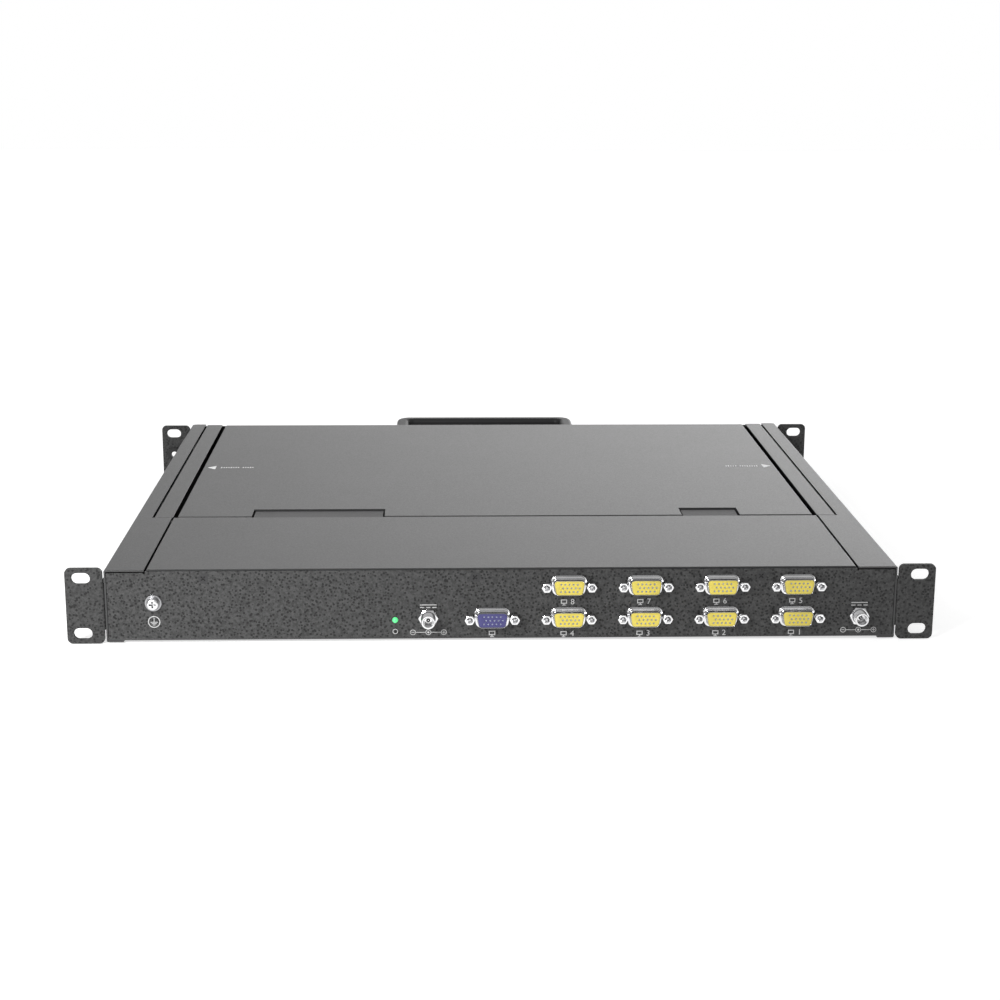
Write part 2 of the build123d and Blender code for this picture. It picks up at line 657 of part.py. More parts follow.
def key_rows():
    """Yields (x limits, y limits, is space bar) for every key."""
    total = (MAIN_BLOCK_UNITS + NUMBER_BLOCK_UNITS) * KEY_PITCH + NUMBER_BLOCK_GAP
    left = -total / 2
    number_left = left + MAIN_BLOCK_UNITS * KEY_PITCH + NUMBER_BLOCK_GAP
    for start, rows in ((left, KEY_ROWS), (number_left, NUMBER_ROWS)):
        for index, row in enumerate(rows):
            rear = KEYBOARD_REAR_Y - index * KEY_PITCH
            x = start
            for units in row:
                width = units * KEY_PITCH
                yield (x, x + width), (rear - KEY_PITCH, rear), units == SPACE_KEY
                x += width


def keycap(x, y):
    """A cap with sloping sides and a rounded top."""
    margin = (KEY_PITCH - KEY_CAP) / 2
    width = x[1] - x[0] - 2 * margin
    base = Rectangle(width, KEY_CAP)
    base = fillet(base.vertices(), 1.5)
    place = Pos((x[0] + x[1]) / 2, (y[0] + y[1]) / 2, KEY_BOTTOM_Z)
    return extrude(place * base, amount=KEY_HEIGHT, taper=KEY_TAPER)


def keycaps(space):
    return [keycap(x, y) for x, y, is_space in key_rows() if is_space == space]


def keyboard_half_width():
    return ((MAIN_BLOCK_UNITS + NUMBER_BLOCK_UNITS) * KEY_PITCH + NUMBER_BLOCK_GAP) / 2


def keyboard_base():
    """The key matrix module under the caps."""
    half = keyboard_half_width() + 5
    y = (KEYBOARD_REAR_Y - 6 * KEY_PITCH - 5, KEYBOARD_REAR_Y + 5)
    return block((-half, half), y, (FLOOR_TOP_Z, -9.8))


def pad_button_y():
    return (PAD_FRONT_Y - 1.0 - PAD_BUTTON_DEPTH, PAD_FRONT_Y - 1.0)


def keyboard_deck():
    """The working surface, open over the keys, the touch pad and its buttons."""
    z = (DECK_TOP_Z - DECK_THICK, DECK_TOP_Z)
    deck = block((-207.4, 207.4), (PANEL_REAR_Y + SHEET + 0.2, 238), z)
    skirt = block((205.4, 207.4), (PANEL_REAR_Y + SHEET + 0.2, 238), (FLOOR_TOP_Z, z[1]))
    rear = block((-207.4, 207.4), (236, 238), (FLOOR_TOP_Z, z[1]))
    half = keyboard_half_width() + 1
    through = (z[0] - 1, z[1] + 1)
    key_well = block((-half, half), (KEYBOARD_REAR_Y - 6 * KEY_PITCH - 1, KEYBOARD_REAR_Y + 1), through)
    pad_well = block((-PAD_HALF - 0.3, PAD_HALF + 0.3), (pad_button_y()[0] - 0.3, PAD_REAR_Y + 0.3), through)
    divider = block((-PAD_HALF - 0.3, PAD_HALF + 0.3), (PAD_FRONT_Y - 0.8, PAD_FRONT_Y - 0.2), z)
    rests = [rod_z(x, y, 4.0, (DECK_TOP_Z, LID_BOTTOM_Z - BUMPER_HEIGHT)) for x, y in BUMPER_PLACES]
    body = deck + skirt + flip(skirt) + rear - key_well - pad_well + divider
    for rest in rests:
        body = body + rest
    return body


def lid_bumpers():
    """Rubber caps on the deck's four posts, which the shut lid rests on."""
    z = (LID_BOTTOM_Z - BUMPER_HEIGHT, LID_BOTTOM_Z - RUN_GAP)
    return [rod_z(x, y, 3.5, z) for x, y in BUMPER_PLACES]


def touchpad():
    plate = block((-PAD_HALF, PAD_HALF), (PAD_FRONT_Y, PAD_REAR_Y), (DECK_TOP_Z - 2.0, DECK_TOP_Z - 0.4))
    board_y = (PAD_FRONT_Y + 4, PAD_REAR_Y - 4)
    board = block((-PAD_HALF + 4, PAD_HALF - 4), board_y, (FLOOR_TOP_Z, DECK_TOP_Z - 2.0))
    return plate + board


def pad_button(side):
    """A click button in front of the pad; its skirt is wider under the deck."""
    x = (0.25, PAD_HALF) if side > 0 else (-PAD_HALF, -0.25)
    y = pad_button_y()
    cap = block(x, y, (DECK_TOP_Z - 3.0, DECK_TOP_Z + 0.3))
    rim = cap.faces().sort_by(Axis.Z)[-1].edges()
    cap = fillet(rim, 0.25)
    foot = block((x[0] + 4, x[1] - 4), (y[0] + 3, y[1] - 3), (DECK_TOP_Z - 5.0, DECK_TOP_Z - 3.0))
    return cap + foot


def inner(limits, gap):
    return (limits[0] + gap, limits[1] - gap)


def hinge_knuckles():
    """Fixed barrels on webs and feet, one in each notch of the lid."""
    made = []
    for notch in NOTCHES:
        x = inner(notch, 2.0)
        barrel = rod_x(HINGE_Y, HINGE_Z, BARREL_R, x)
        web = block(x, (HINGE_Y - 2.5, HINGE_Y + 2.5), (FLOOR_TOP_Z, HINGE_Z))
        foot = block(x, (HINGE_Y - 9, HINGE_Y + 8.5), (FLOOR_TOP_Z, FLOOR_TOP_Z + 2))
        bore = rod_x(HINGE_Y, HINGE_Z, PIN_R + PIN_CLEARANCE, inner(x, -1))
        made.append(barrel + web + foot - bore)
    return made


def hinge_screws():
    made = []
    top = FLOOR_TOP_Z + 2
    for notch in NOTCHES:
        for x in inner(notch, 9.0):
            head = rod_z(x, HINGE_Y - 5.9, 2.8, (top, top + 1.8))
            rim = head.edges().filter_by(GeomType.CIRCLE).sort_by(Axis.Z)[-1]
            made.append(fillet(rim, 0.7))
    return made


def hinge_covers():
    """Bent plates that fill the notches, just under the lid's level."""
    made = []
    for notch in NOTCHES:
        x = inner(notch, 1.0)
        plate = block(x, (247, 262), (HINGE_COVER_TOP_Z - 0.8, HINGE_COVER_TOP_Z))
        leg = block(inner(notch, 2.0), (260, 261), (FLOOR_TOP_Z + 2, HINGE_COVER_TOP_Z))
        made.append(plate + leg)
    return made


# ---------------------------------------------------------------- lid


def notch_box(notch, grow, z):
    return block(inner(notch, -grow), (NOTCH_FRONT_Y - grow, LID_REAR_Y + 5), z)


def lid_cover():
    """The painted sheet-metal back of the display, turned down all round and into both notches."""
    z = (LID_BOTTOM_Z, TOP_Z)
    outer = block((-LID_HALF, LID_HALF), (LID_FRONT_Y, LID_REAR_Y), z)
    outer = fillet(outer.edges().filter_by(Axis.Z), 1.5)
    outer = fillet(outer.faces().sort_by(Axis.Z)[-1].edges(), BEND_R)
    cavity = block((-LID_HALF + SHEET, LID_HALF - SHEET), (LID_FRONT_Y + SHEET, LID_REAR_Y - SHEET),
                   (z[0] - 1, z[1] - SHEET))
    for notch in NOTCHES:
        cavity = cavity - notch_box(notch, SHEET, (z[0] - 2, z[1]))
    body = outer - cavity
    for notch in NOTCHES:
        body = body - notch_box(notch, 0, (z[0] - 2, z[1] + 2))
        body = body - rod_x(HINGE_Y, HINGE_Z, PIN_R, inner(notch, -SHEET - 1))
    return body


def display_bezel():
    z = (LID_BOTTOM_Z, LID_BOTTOM_Z + 1.5)
    gap = SHEET + RUN_GAP
    plate = block((-LID_HALF + gap, LID_HALF - gap), (LID_FRONT_Y + gap, LID_REAR_Y - gap), z)
    for notch in NOTCHES:
        plate = plate - notch_box(notch, gap, (z[0] - 1, z[1] + 1))
    window = block((-SCREEN_WIDTH / 2, SCREEN_WIDTH / 2),
                   (SCREEN_Y - SCREEN_DEPTH / 2, SCREEN_Y + SCREEN_DEPTH / 2), (z[0] - 1, z[1] + 1))
    holes = [block((x - 5.2, x + 5.2), (OSD_BUTTON_Y - 2.2, OSD_BUTTON_Y + 2.2), (z[0] - 1, z[1] + 1))
             for x in OSD_BUTTON_X]
    return cut(plate - window, holes)


def display_screen():
    half_x = SCREEN_WIDTH / 2 + 2
    half_y = SCREEN_DEPTH / 2 + 2
    y = (SCREEN_Y - half_y, SCREEN_Y + half_y)
    return block((-half_x, half_x), y, (LID_BOTTOM_Z + 1.6, LID_BOTTOM_Z + 3.0))


def display_panel():
    """The backlit display module behind the screen."""
    half_x = 191.0
    half_y = 122.2
    y = (SCREEN_Y - half_y, SCREEN_Y + half_y)
    return block((-half_x, half_x), y, (LID_BOTTOM_Z + 3.1, LID_BOTTOM_Z + 11.5))


def display_boards():
    """The display driver board over the module, and the button board in the hinge margin."""
    driver = block((-70, 50), (40, 110), (LID_BOTTOM_Z + 12.0, LID_BOTTOM_Z + 13.6))
    buttons = block((-48, 48), (244, 256), (LID_BOTTOM_Z + 5.0, LID_BOTTOM_Z + 6.6))
    return [driver, buttons]


def osd_button(x):
    """A small push button in the hinge-side margin of the display."""
    y = (OSD_BUTTON_Y - 2, OSD_BUTTON_Y + 2)
    cap = block((x - 5, x + 5), y, (LID_BOTTOM_Z - 0.6, LID_BOTTOM_Z + 2.6))
    rim = cap.faces().sort_by(Axis.Z)[0].edges()
    cap = fillet(rim, 0.3)
    flange = block((x - 6, x + 6), inner(y, -1), (LID_BOTTOM_Z + 1.6, LID_BOTTOM_Z + 2.6))
    return cap + flange


def lid_hinge_blocks():
    """Die-cast blocks inside the lid, each side of a notch, that grip the hinge pins."""
    made = []
    for notch in NOTCHES:
        for x in ((notch[0] - SHEET - 7, notch[0] - SHEET), (notch[1] + SHEET, notch[1] + SHEET + 7)):
            body = block(x, (246.5, 260.5), (LID_BOTTOM_Z + 1.6, TOP_Z - SHEET))
            made.append(body - rod_x(HINGE_Y, HINGE_Z, PIN_R, inner(x, -1)))
    return made


def hinge_pins():
    return [rod_x(HINGE_Y, HINGE_Z, PIN_R, inner(notch, -SHEET - 7)) for notch in NOTCHES]


def build():
    os.makedirs("parts", exist_ok=True)
    channel = side_channel()
    save("side_channel_right", channel)
    save("side_channel_left", flip(channel))
    save("base_pan", base_pan())
    save("rear_panel", rear_panel())
    save("rear_cover", rear_cover())
    save("rear_cover_screws", *rear_cover_screws())
    save("bulkhead", bulkhead())
    ear = front_ear()
    save("front_ear_right", ear)
    save("front_ear_left", flip(ear))
    ear = rear_ear()
    save("rear_ear_right", ear)
    save("rear_ear_left", flip(ear))
    save("ear_clinch_nuts", *both(clinch_nut()))
    screws = [side_screw(y, z) for y, z in FRONT_SIDE_SCREWS + REAR_SIDE_SCREWS]
    save("side_screws", *screws, *[flip(s) for s in screws])
    save("slide_outer_rails", *both(outer_rail()))
    save("slide_inner_rails", *both(inner_rail()))
    save("slide_ball_cages", *both(ball_cage()))
    save("switch_board", switch_board())
    save("board_chips", *board_chips())
    save("board_standoffs", *board_standoffs(), *jack_board_standoffs())
    save("jack_board", jack_board())
    save("port_housings", *port_housings())
    computers, console = ports()
    save("port_shells", *[port_shell(x, z) for x, z in computers + [console]])
    save("computer_port_inserts", *[port_insert(x, z) for x, z in computers])
    save("console_port_insert", port_insert(*console))
    save("port_jackscrews", *jackscrews())
    save("power_jacks", *[barrel_jack(x, z) for x, z in BARREL_JACKS])
    save("power_jack_pins", *[barrel_jack_pin(x, z) for x, z in BARREL_JACKS])
    save("power_jack_nuts", *[barrel_jack_nut(x, z) for x, z in BARREL_JACKS])
    save("power_led", power_led())
    save("ground_screw", ground_screw())
    save("ground_washer", ground_washer())
    save("drawer_tray", drawer_tray())
    save("front_panel", front_panel())
    save("drawer_handle", drawer_handle())
    save("handle_screws", *handle_screws())
    save("keyboard_deck", keyboard_deck())
    save("keyboard_base", keyboard_base())
    save("keycaps", *keycaps(False))
    save("space_bar", *keycaps(True))
    save("touchpad", touchpad())
    save("touchpad_button_left", pad_button(-1))
    save("touchpad_button_right", pad_button(1))
    save("lid_bumpers", *lid_bumpers())
    save("hinge_knuckles", *hinge_knuckles())
    save("hinge_screws", *hinge_screws())
    save("hinge_covers", *hinge_covers())
    save("lid_cover", lid_cover())
    save("display_bezel", display_bezel())
    save("display_screen", display_screen())
    save("display_panel", display_panel())
    save("display_boards", *display_boards())
    for number, x in enumerate(OSD_BUTTON_X, 1):
        save("osd_button_" + str(number), osd_button(x))
    save("lid_hinge_blocks", *lid_hinge_blocks())
    save("hinge_pins", *hinge_pins())


build()
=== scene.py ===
import json
import math

import bmesh
import bpy
from mathutils import Matrix, Vector

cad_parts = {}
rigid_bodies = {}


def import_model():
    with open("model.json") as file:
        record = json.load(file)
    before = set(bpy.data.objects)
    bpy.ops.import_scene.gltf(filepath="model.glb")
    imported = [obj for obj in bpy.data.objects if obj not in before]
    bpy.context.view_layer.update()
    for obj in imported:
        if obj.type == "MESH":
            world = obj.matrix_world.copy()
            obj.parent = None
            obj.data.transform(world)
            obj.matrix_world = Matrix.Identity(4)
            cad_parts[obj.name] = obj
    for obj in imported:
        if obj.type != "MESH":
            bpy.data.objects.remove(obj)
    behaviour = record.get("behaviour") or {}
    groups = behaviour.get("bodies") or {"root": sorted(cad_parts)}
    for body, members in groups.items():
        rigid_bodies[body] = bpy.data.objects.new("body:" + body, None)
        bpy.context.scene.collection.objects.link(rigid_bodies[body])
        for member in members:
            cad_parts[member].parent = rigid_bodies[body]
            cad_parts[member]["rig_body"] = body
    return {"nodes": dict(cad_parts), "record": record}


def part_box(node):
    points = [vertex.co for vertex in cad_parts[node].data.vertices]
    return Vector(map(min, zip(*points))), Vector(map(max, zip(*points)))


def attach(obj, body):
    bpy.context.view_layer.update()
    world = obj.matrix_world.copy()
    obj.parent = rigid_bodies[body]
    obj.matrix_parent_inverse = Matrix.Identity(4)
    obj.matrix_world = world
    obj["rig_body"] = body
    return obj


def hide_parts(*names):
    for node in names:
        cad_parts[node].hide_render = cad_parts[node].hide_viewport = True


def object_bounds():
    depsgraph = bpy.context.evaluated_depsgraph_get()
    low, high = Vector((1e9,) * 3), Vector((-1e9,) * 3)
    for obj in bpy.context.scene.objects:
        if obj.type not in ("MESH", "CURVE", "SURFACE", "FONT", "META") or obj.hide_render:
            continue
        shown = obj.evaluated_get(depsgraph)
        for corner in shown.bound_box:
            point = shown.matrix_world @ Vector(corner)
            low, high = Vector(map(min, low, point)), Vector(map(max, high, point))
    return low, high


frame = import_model()
cad_low, cad_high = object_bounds()

# Metres, in the model's frame: +X is the user's right, +Y the rear of the rack, +Z up.
MM = 0.001
NODES = frame["nodes"]
RECORD = frame["record"]
MOUNTS = {mount["name"]: Vector(mount["pos_m"]) for mount in RECORD["mounts"]}
SLOTS = {part["node"]: part["material_slot"] for part in RECORD["subparts"]}
REAR_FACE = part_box("rear_panel")[1].y
LID_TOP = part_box("lid_cover")[1].z

# ---- connector sizes, in millimetres ----
SHELL_WIDTH = 17.8
SHELL_FOOT_WIDTH = 14.9
SHELL_HEIGHT = 8.5
SHELL_CORNER = 2.0
SHELL_WALL = 0.3
SHELL_FLARE = 1.5
SHELL_OUT = 6.0
INSERT_BELOW_RIM = 0.15
INSERT_ROUND = 0.2
INSERT_THICK = 8.0
CONTACT_PITCH = 2.29
CONTACT_ROW_PITCH = 2.1
CONTACT_R = 0.5
SCREW_LOCK_FLATS = 4.95
SCREW_LOCK_FACE_R = 2.4
JACK_R = 3.84
JACK_ROOT_R = 3.62
JACK_FLOOR_DEEP = 4.6
NUT_FLATS = 9.6
NUT_FACE_R = 4.6
NUT_BORE_R = 3.86
CROSS_HALF = 1.9
CROSS_DEEP = 1.1


# ---------------------------------------------------------------- shader helpers


def add(tree, kind, inputs=None, **settings):
    """Adds a shader node, with its settings and its input values or links."""
    made = tree.nodes.new("ShaderNode" + kind)
    for key, value in settings.items():
        setattr(made, key, value)
    for key, value in (inputs or {}).items():
        if isinstance(value, bpy.types.NodeSocket):
            tree.links.new(value, made.inputs[key])
        else:
            made.inputs[key].default_value = value
    return made


def noise(tree, scale, detail=2.0, roughness=0.5, stretch=(1, 1, 1)):
    """Noise over the piece's own space; scale is in features per metre."""
    place = add(tree, "TexCoord").outputs["Object"]
    place = add(tree, "Mapping", {"Vector": place, "Scale": stretch}).outputs["Vector"]
    inputs = {"Vector": place, "Scale": scale, "Detail": detail, "Roughness": roughness}
    return add(tree, "TexNoise", inputs).outputs["Fac"]


def ramp(tree, fac, stops):
    """A colour ramp from (position, colour) stops."""
    made = add(tree, "ValToRGB", {"Fac": fac})
    elements = made.color_ramp.elements
    elements[0].position, elements[0].color = stops[0][0], (*stops[0][1], 1)
    elements[1].position, elements[1].color = stops[-1][0], (*stops[-1][1], 1)
    for position, colour in stops[1:-1]:
        elements.new(position).color = (*colour, 1)
    return made.outputs["Color"]


def between(tree, fac, low, high):
    inputs = {"Value": fac, "From Min": 0.3, "From Max": 0.7, "To Min": low, "To Max": high}
    return add(tree, "MapRange", inputs).outputs["Result"]


def bump(tree, height, distance, strength=1.0, under=None):
    inputs = {"Height": height, "Distance": distance, "Strength": strength}
    if under is not None:
        inputs["Normal"] = under
    return add(tree, "Bump", inputs).outputs["Normal"]


def multiplied(tree, one, two):
    """The product of two colours."""
    inputs = {"Factor": 1.0, 6: one, 7: two}
    return add(tree, "Mix", inputs, data_type="RGBA", blend_type="MULTIPLY").outputs[2]


def mixed(tree, factor, one, two):
    """A value between two others."""
    return add(tree, "Mix", {"Factor": factor, 2: one, 3: two}, data_type="FLOAT").outputs[0]


def shade(colour, factor):
    return tuple(min(1.0, channel * factor) for channel in colour)


def material(name, build):
    """A node material; build adds the nodes and returns the Principled inputs."""
    made = bpy.data.materials.new(name)
    made.use_nodes = True
    tree = made.node_tree
    tree.nodes.clear()
    shader = add(tree, "BsdfPrincipled", build(tree))
    add(tree, "OutputMaterial", {"Surface": shader.outputs["BSDF"]})
    return made


# ---------------------------------------------------------------- materials


def paint(name, colour, roughness, specular=0.5):
    """Satin sheet-metal paint with a fine orange peel and faint uneven tone."""
    def build(tree):
        fine = noise(tree, 1400, 3.0)
        broad = noise(tree, 18, 3.0)
        grain = noise(tree, 2600, 1.0)
        tone = mixed(tree, 0.35, broad, grain)
        colours = ramp(tree, tone, [(0.3, shade(colour, 0.86)), (0.7, shade(colour, 1.14))])
        return {"Base Color": colours, "Roughness": between(tree, fine, roughness - 0.05, roughness + 0.05),
                "Specular IOR Level": specular, "Normal": bump(tree, fine, 0.00002)}
    return material(name, build)


def sand_coat(name, pit, ground):
    """Sand-textured powder coat: small round dark pits in an uneven grey ground, with finer grains."""
    def build(tree):
        place = add(tree, "TexCoord").outputs["Object"]
        pits = add(tree, "TexVoronoi", {"Vector": place, "Scale": 530.0}).outputs["Distance"]
        patches = noise(tree, 700, 1.5, 0.5)
        grains = noise(tree, 1900, 2.0, 0.6)
        base = ramp(tree, pits, [(0.28, pit), (0.40, ground)])
        for fac, low, high in ((patches, 0.66, 1.36), (grains, 0.78, 1.22)):
            uneven = ramp(tree, fac, [(0.36, (low,) * 3), (0.64, (high,) * 3)])
            base = multiplied(tree, base, uneven)
        relief = bump(tree, pits, 0.00016, 0.45)
        relief = bump(tree, grains, 0.00005, 0.6, relief)
        return {"Base Color": base, "Roughness": between(tree, grains, 0.46, 0.62),
                "Specular IOR Level": 0.42, "Normal": relief}
    return material(name, build)


def metal(name, colour, roughness, stretch=(1, 1, 1), metallic=1.0, scratch=0.0000015, recess=0.0012):
    """Bare or plated metal with directional fine scratches and dull patches; its recesses are darkened with
    painted shade that reaches recess metres.
    """
    def build(tree):
        lines = noise(tree, 900, 4.0, 0.65, stretch)
        dull = noise(tree, 160, 3.0)
        tone = ramp(tree, dull, [(0.3, shade(colour, 0.9)), (0.7, colour)])
        # Painted shade: ambient occlusion darkens the base colour down to 0.16 in recesses, crevices and
        # threads.
        open_share = add(tree, "AmbientOcclusion", {"Distance": recess}, samples=8).outputs["AO"]
        painted_recess_shade = ramp(tree, open_share, [(0.25, (0.16, 0.16, 0.16)), (0.8, (1, 1, 1))])
        return {"Base Color": multiplied(tree, tone, painted_recess_shade), "Metallic": metallic,
                "Roughness": between(tree, dull, roughness, roughness + 0.06),
                "Normal": bump(tree, lines, scratch)}
    return material(name, build)


def plastic(name, colour, roughness, grain=0.000012, scale=2600):
    """Moulded plastic or rubber with a fine spark-eroded texture."""
    def build(tree):
        fine = noise(tree, scale, 2.0)
        broad = noise(tree, 40, 2.0)
        colours = ramp(tree, broad, [(0.3, shade(colour, 0.88)), (0.7, shade(colour, 1.1))])
        return {"Base Color": colours, "Roughness": between(tree, broad, roughness - 0.04, roughness + 0.04),
                "Normal": bump(tree, fine, grain)}
    return material(name, build)


def circuit_board(name, colour):
    """Solder mask over copper tracks, which show as paler, slightly raised bands."""
    def build(tree):
        place = add(tree, "TexCoord").outputs["Object"]
        cells = add(tree, "TexVoronoi", {"Vector": place, "Scale": 170.0}, distance="MANHATTAN")
        waves = {"Vector": place, "Scale": 120.0, "Distortion": 0.0}
        tracks = add(tree, "TexWave", waves, wave_profile="SIN")
        fac = mixed(tree, 0.5, cells.outputs["Distance"], tracks.outputs["Fac"])
        colours = ramp(tree, fac, [(0.35, colour), (0.45, shade(colour, 1.9)), (0.6, colour)])
        return {"Base Color": colours, "Roughness": 0.32, "Normal": bump(tree, fac, 0.00002)}
    return material(name, build)


def screen_glass(name):
    """An anti-glare display face: near black, with a fine etched haze."""
    def build(tree):
        etch = noise(tree, 3600, 1.0)
        haze = noise(tree, 9, 2.0)
        colours = ramp(tree, haze, [(0.3, (0.008, 0.009, 0.011)), (0.7, (0.013, 0.014, 0.017))])
        return {"Base Color": colours, "Roughness": between(tree, haze, 0.2, 0.26),
                "Coat Weight": 0.25, "Coat Roughness": 0.12, "Normal": bump(tree, etch, 0.000002)}
    return material(name, build)


def lit_lens(name, colour):
    """A diffused, glowing lamp lens, slightly cloudy."""
    def build(tree):
        cloud = noise(tree, 700, 2.0)
        colours = ramp(tree, cloud, [(0.3, shade(colour, 0.92)), (0.7, shade(colour, 1.08))])
        return {"Base Color": colours, "Roughness": 0.28, "Emission Color": colours,
                "Emission Strength": 0.62, "Transmission Weight": 0.1}
    return material(name, build)


def ink(name, level, worn=0.8):
    """Screen-printed ink with slightly uneven cover."""
    def build(tree):
        cover = noise(tree, 2200, 3.0, 0.6)
        colours = ramp(tree, cover, [(0.3, (level * worn,) * 3), (0.55, (level,) * 3)])
        return {"Base Color": colours, "Roughness": 0.5, "Normal": bump(tree, cover, 0.000006)}
    return material(name, build)


MATERIALS = {
    "top_paint": paint("satin_grey_paint", (0.035, 0.035, 0.0355), 0.34),
    "rear_coat": sand_coat("sand_coat_panel", (0.002,) * 3, (0.035,) * 3),
    "bracket_coat": sand_coat("sand_coat_bracket", (0.002,) * 3, (0.031,) * 3),
    "hinge_paint": paint("matt_hinge_paint", (0.078, 0.078, 0.079), 0.55),
    "handle_black": paint("semi_gloss_black", (0.021, 0.021, 0.0215), 0.42, specular=0.25),
    "black_screw": metal("black_oxide", (0.015, 0.015, 0.0155), 0.45, metallic=0.2),
    "zinc_steel": metal("zinc_plate", (0.62, 0.62, 0.61), 0.38, (1, 0.1, 1), scratch=0.0000002),
    "hinge_metal": metal("die_cast_metal", (0.36, 0.36, 0.37), 0.45),
    "nickel": metal("bright_nickel", (0.86, 0.86, 0.87), 0.10, (1, 0.2, 1)),
    "brass": metal("gilded_brass", (0.83, 0.66, 0.33), 0.26),
    "circuit_board": circuit_board("green_board", (0.012, 0.085, 0.035)),
    "chip_black": plastic("chip_resin", (0.02, 0.02, 0.021), 0.55),
    "connector_black": plastic("connector_nylon", (0.02, 0.02, 0.02), 0.45),
    "port_yellow": plastic("port_yellow_nylon", (0.63, 0.52, 0.088), 0.42),
    "port_blue": plastic("port_blue_nylon", (0.045, 0.042, 0.15), 0.42),
    "led_lens": lit_lens("green_lens", (0.10, 0.62, 0.22)),
    "deck_black": plastic("deck_moulding", (0.024, 0.024, 0.025), 0.52, 0.00003, 1800),
    "key_black": plastic("keycap_moulding", (0.02, 0.02, 0.021), 0.46, 0.00002, 2200),
    "pad_grey": plastic("pad_film", (0.055, 0.055, 0.058), 0.36, 0.000004, 4200),
    "rubber": plastic("rubber", (0.016, 0.016, 0.016), 0.75),
    "bezel_black": plastic("bezel_moulding", (0.018, 0.018, 0.019), 0.45, 0.000025, 1900),
    "screen": screen_glass("anti_glare_screen"),
    "display_module": metal("module_tin", (0.55, 0.55, 0.56), 0.35, (0.1, 1, 1)),
}
# Contact sleeves: their blue-grey tint is a painted reflection, and like every metal here their recesses get
# painted shade.
CONTACT_METAL = metal("contact_plating_painted_reflection", (0.46, 0.49, 0.64), 0.4, metallic=0.5, recess=0.0001)
SCREW_METAL = metal("plated_screw", (0.82, 0.82, 0.83), 0.32, recess=0.002)
WASHER_METAL = metal("plated_washer", (0.42, 0.42, 0.43), 0.3, recess=0.002)
COATED_SCREW = metal("coated_screw", (0.034, 0.034, 0.035), 0.45, metallic=0.3, recess=0.002)
PRINT = ink("white_print", 0.46)
LID_PRINT = ink("lid_white_print", 0.96, worn=0.94)
LEGEND = ink("key_legend_print", 0.62)


# ---------------------------------------------------------------- mesh helpers


def show(name, mesh, finish, sharp=35):
    """Links a mesh as an object with one material, smooth but for its sharp edges."""
    made = bpy.data.objects.new(name, mesh)
    bpy.context.scene.collection.objects.link(made)
    mesh.materials.clear()
    mesh.materials.append(finish)
    mesh.polygons.foreach_set("use_smooth", [True] * len(mesh.polygons))
    if sharp:
        mesh.set_sharp_from_angle(angle=math.radians(sharp))
    return made


def place(piece, node, replaced=True):
    """Rides a piece on a CAD node's body, and in its stead."""
    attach(piece, NODES[node]["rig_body"])
    if replaced:
        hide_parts(node)
    return piece


def applied(made):
    """Bakes an object's modifiers into its mesh."""
    graph = bpy.context.evaluated_depsgraph_get()
    mesh = bpy.data.meshes.new_from_object(made.evaluated_get(graph))
    made.modifiers.clear()
    made.data = mesh
    return made


def clean_copy(node):
    """A welded copy of a CAD node's mesh with flat faces joined, as a bmesh."""
    work = bmesh.new()
    work.from_mesh(NODES[node].data)
    bmesh.ops.remove_doubles(work, verts=work.verts, dist=0.000002)
    bmesh.ops.dissolve_limit(work, angle_limit=math.radians(0.6), verts=work.verts, edges=work.edges)
    return work


def softened(node, width, finish=None, tools=None):
    """Stands for a CAD node: the same shape with its sharp edges broken by width millimetres."""
    work = clean_copy(node)
    mesh = bpy.data.meshes.new(node + "_finished")
    work.to_mesh(mesh)
    work.free()
    made = show(node + "_finished", mesh, finish or MATERIALS[SLOTS[node]], sharp=0)
    if tools is not None:
        cut = made.modifiers.new("drives", "BOOLEAN")
        cut.object = tools
        cut.solver = "EXACT"
        cut.use_self = True
    bevel = made.modifiers.new("edges", "BEVEL")
    bevel.width = width * MM
    bevel.segments = 2
    bevel.limit_method = "ANGLE"
    bevel.angle_limit = math.radians(38)
    bevel.use_clamp_overlap = True
    weighted = made.modifiers.new("normals", "WEIGHTED_NORMAL")
    weighted.keep_sharp = False
    applied(made)
    if tools is not None:
        bpy.data.objects.remove(tools)
    return place(made, node)


def solids(node):
    """The (low, high) box of each separate solid in a CAD node."""
    work = bmesh.new()
    work.from_mesh(NODES[node].data)
    bmesh.ops.remove_doubles(work, verts=work.verts, dist=0.000002)
    left = set(work.verts)
    boxes = []
    while left:
        start = left.pop()
        group = [start]
        queue = [start]
        while queue:
            for edge in queue.pop().link_edges:
                for other in edge.verts:
                    if other in left:
                        left.remove(other)
                        group.append(other)
                        queue.append(other)
        low = Vector(min(v.co[i] for v in group) for i in range(3))
        high = Vector(max(v.co[i] for v in group) for i in range(3))
        boxes.append((low, high))
    work.free()
    return sorted(boxes, key=lambda b: (round(-b[1].y, 4), round(b[0].x, 4), round(b[0].z, 4)))


class Skin:
    """Collects lofted rings and becomes one mesh object."""

    def __init__(self):
        self.work = bmesh.new()

    def loft(self, rings, closed=False):
        """Joins rings of equally many points. The ends are capped, or joined to each other if closed."""
        rows = [[self.work.verts.new(point) for point in ring] for ring in rings]
        pairs = list(zip(rows, rows[1:]))
        if closed:
            pairs.append((rows[-1], rows[0]))
        for one, two in pairs:
            for i in range(len(one)):
                self.work.faces.new((one[i - 1], one[i], two[i], two[i - 1]))
        if not closed:
            self.work.faces.new(rows[0])
            self.work.faces.new(rows[-1])

    def take(self, mesh):
        self.work.from_mesh(mesh)
        bpy.data.meshes.remove(mesh)

    def become(self, name, finish, sharp=35):
        bmesh.ops.remove_doubles(self.work, verts=self.work.verts, dist=0.000001)
        bmesh.ops.recalc_face_normals(self.work, faces=self.work.faces)
        mesh = bpy.data.meshes.new(name)
        self.work.to_mesh(mesh)
        self.work.free()
        return show(name, mesh, finish, sharp)


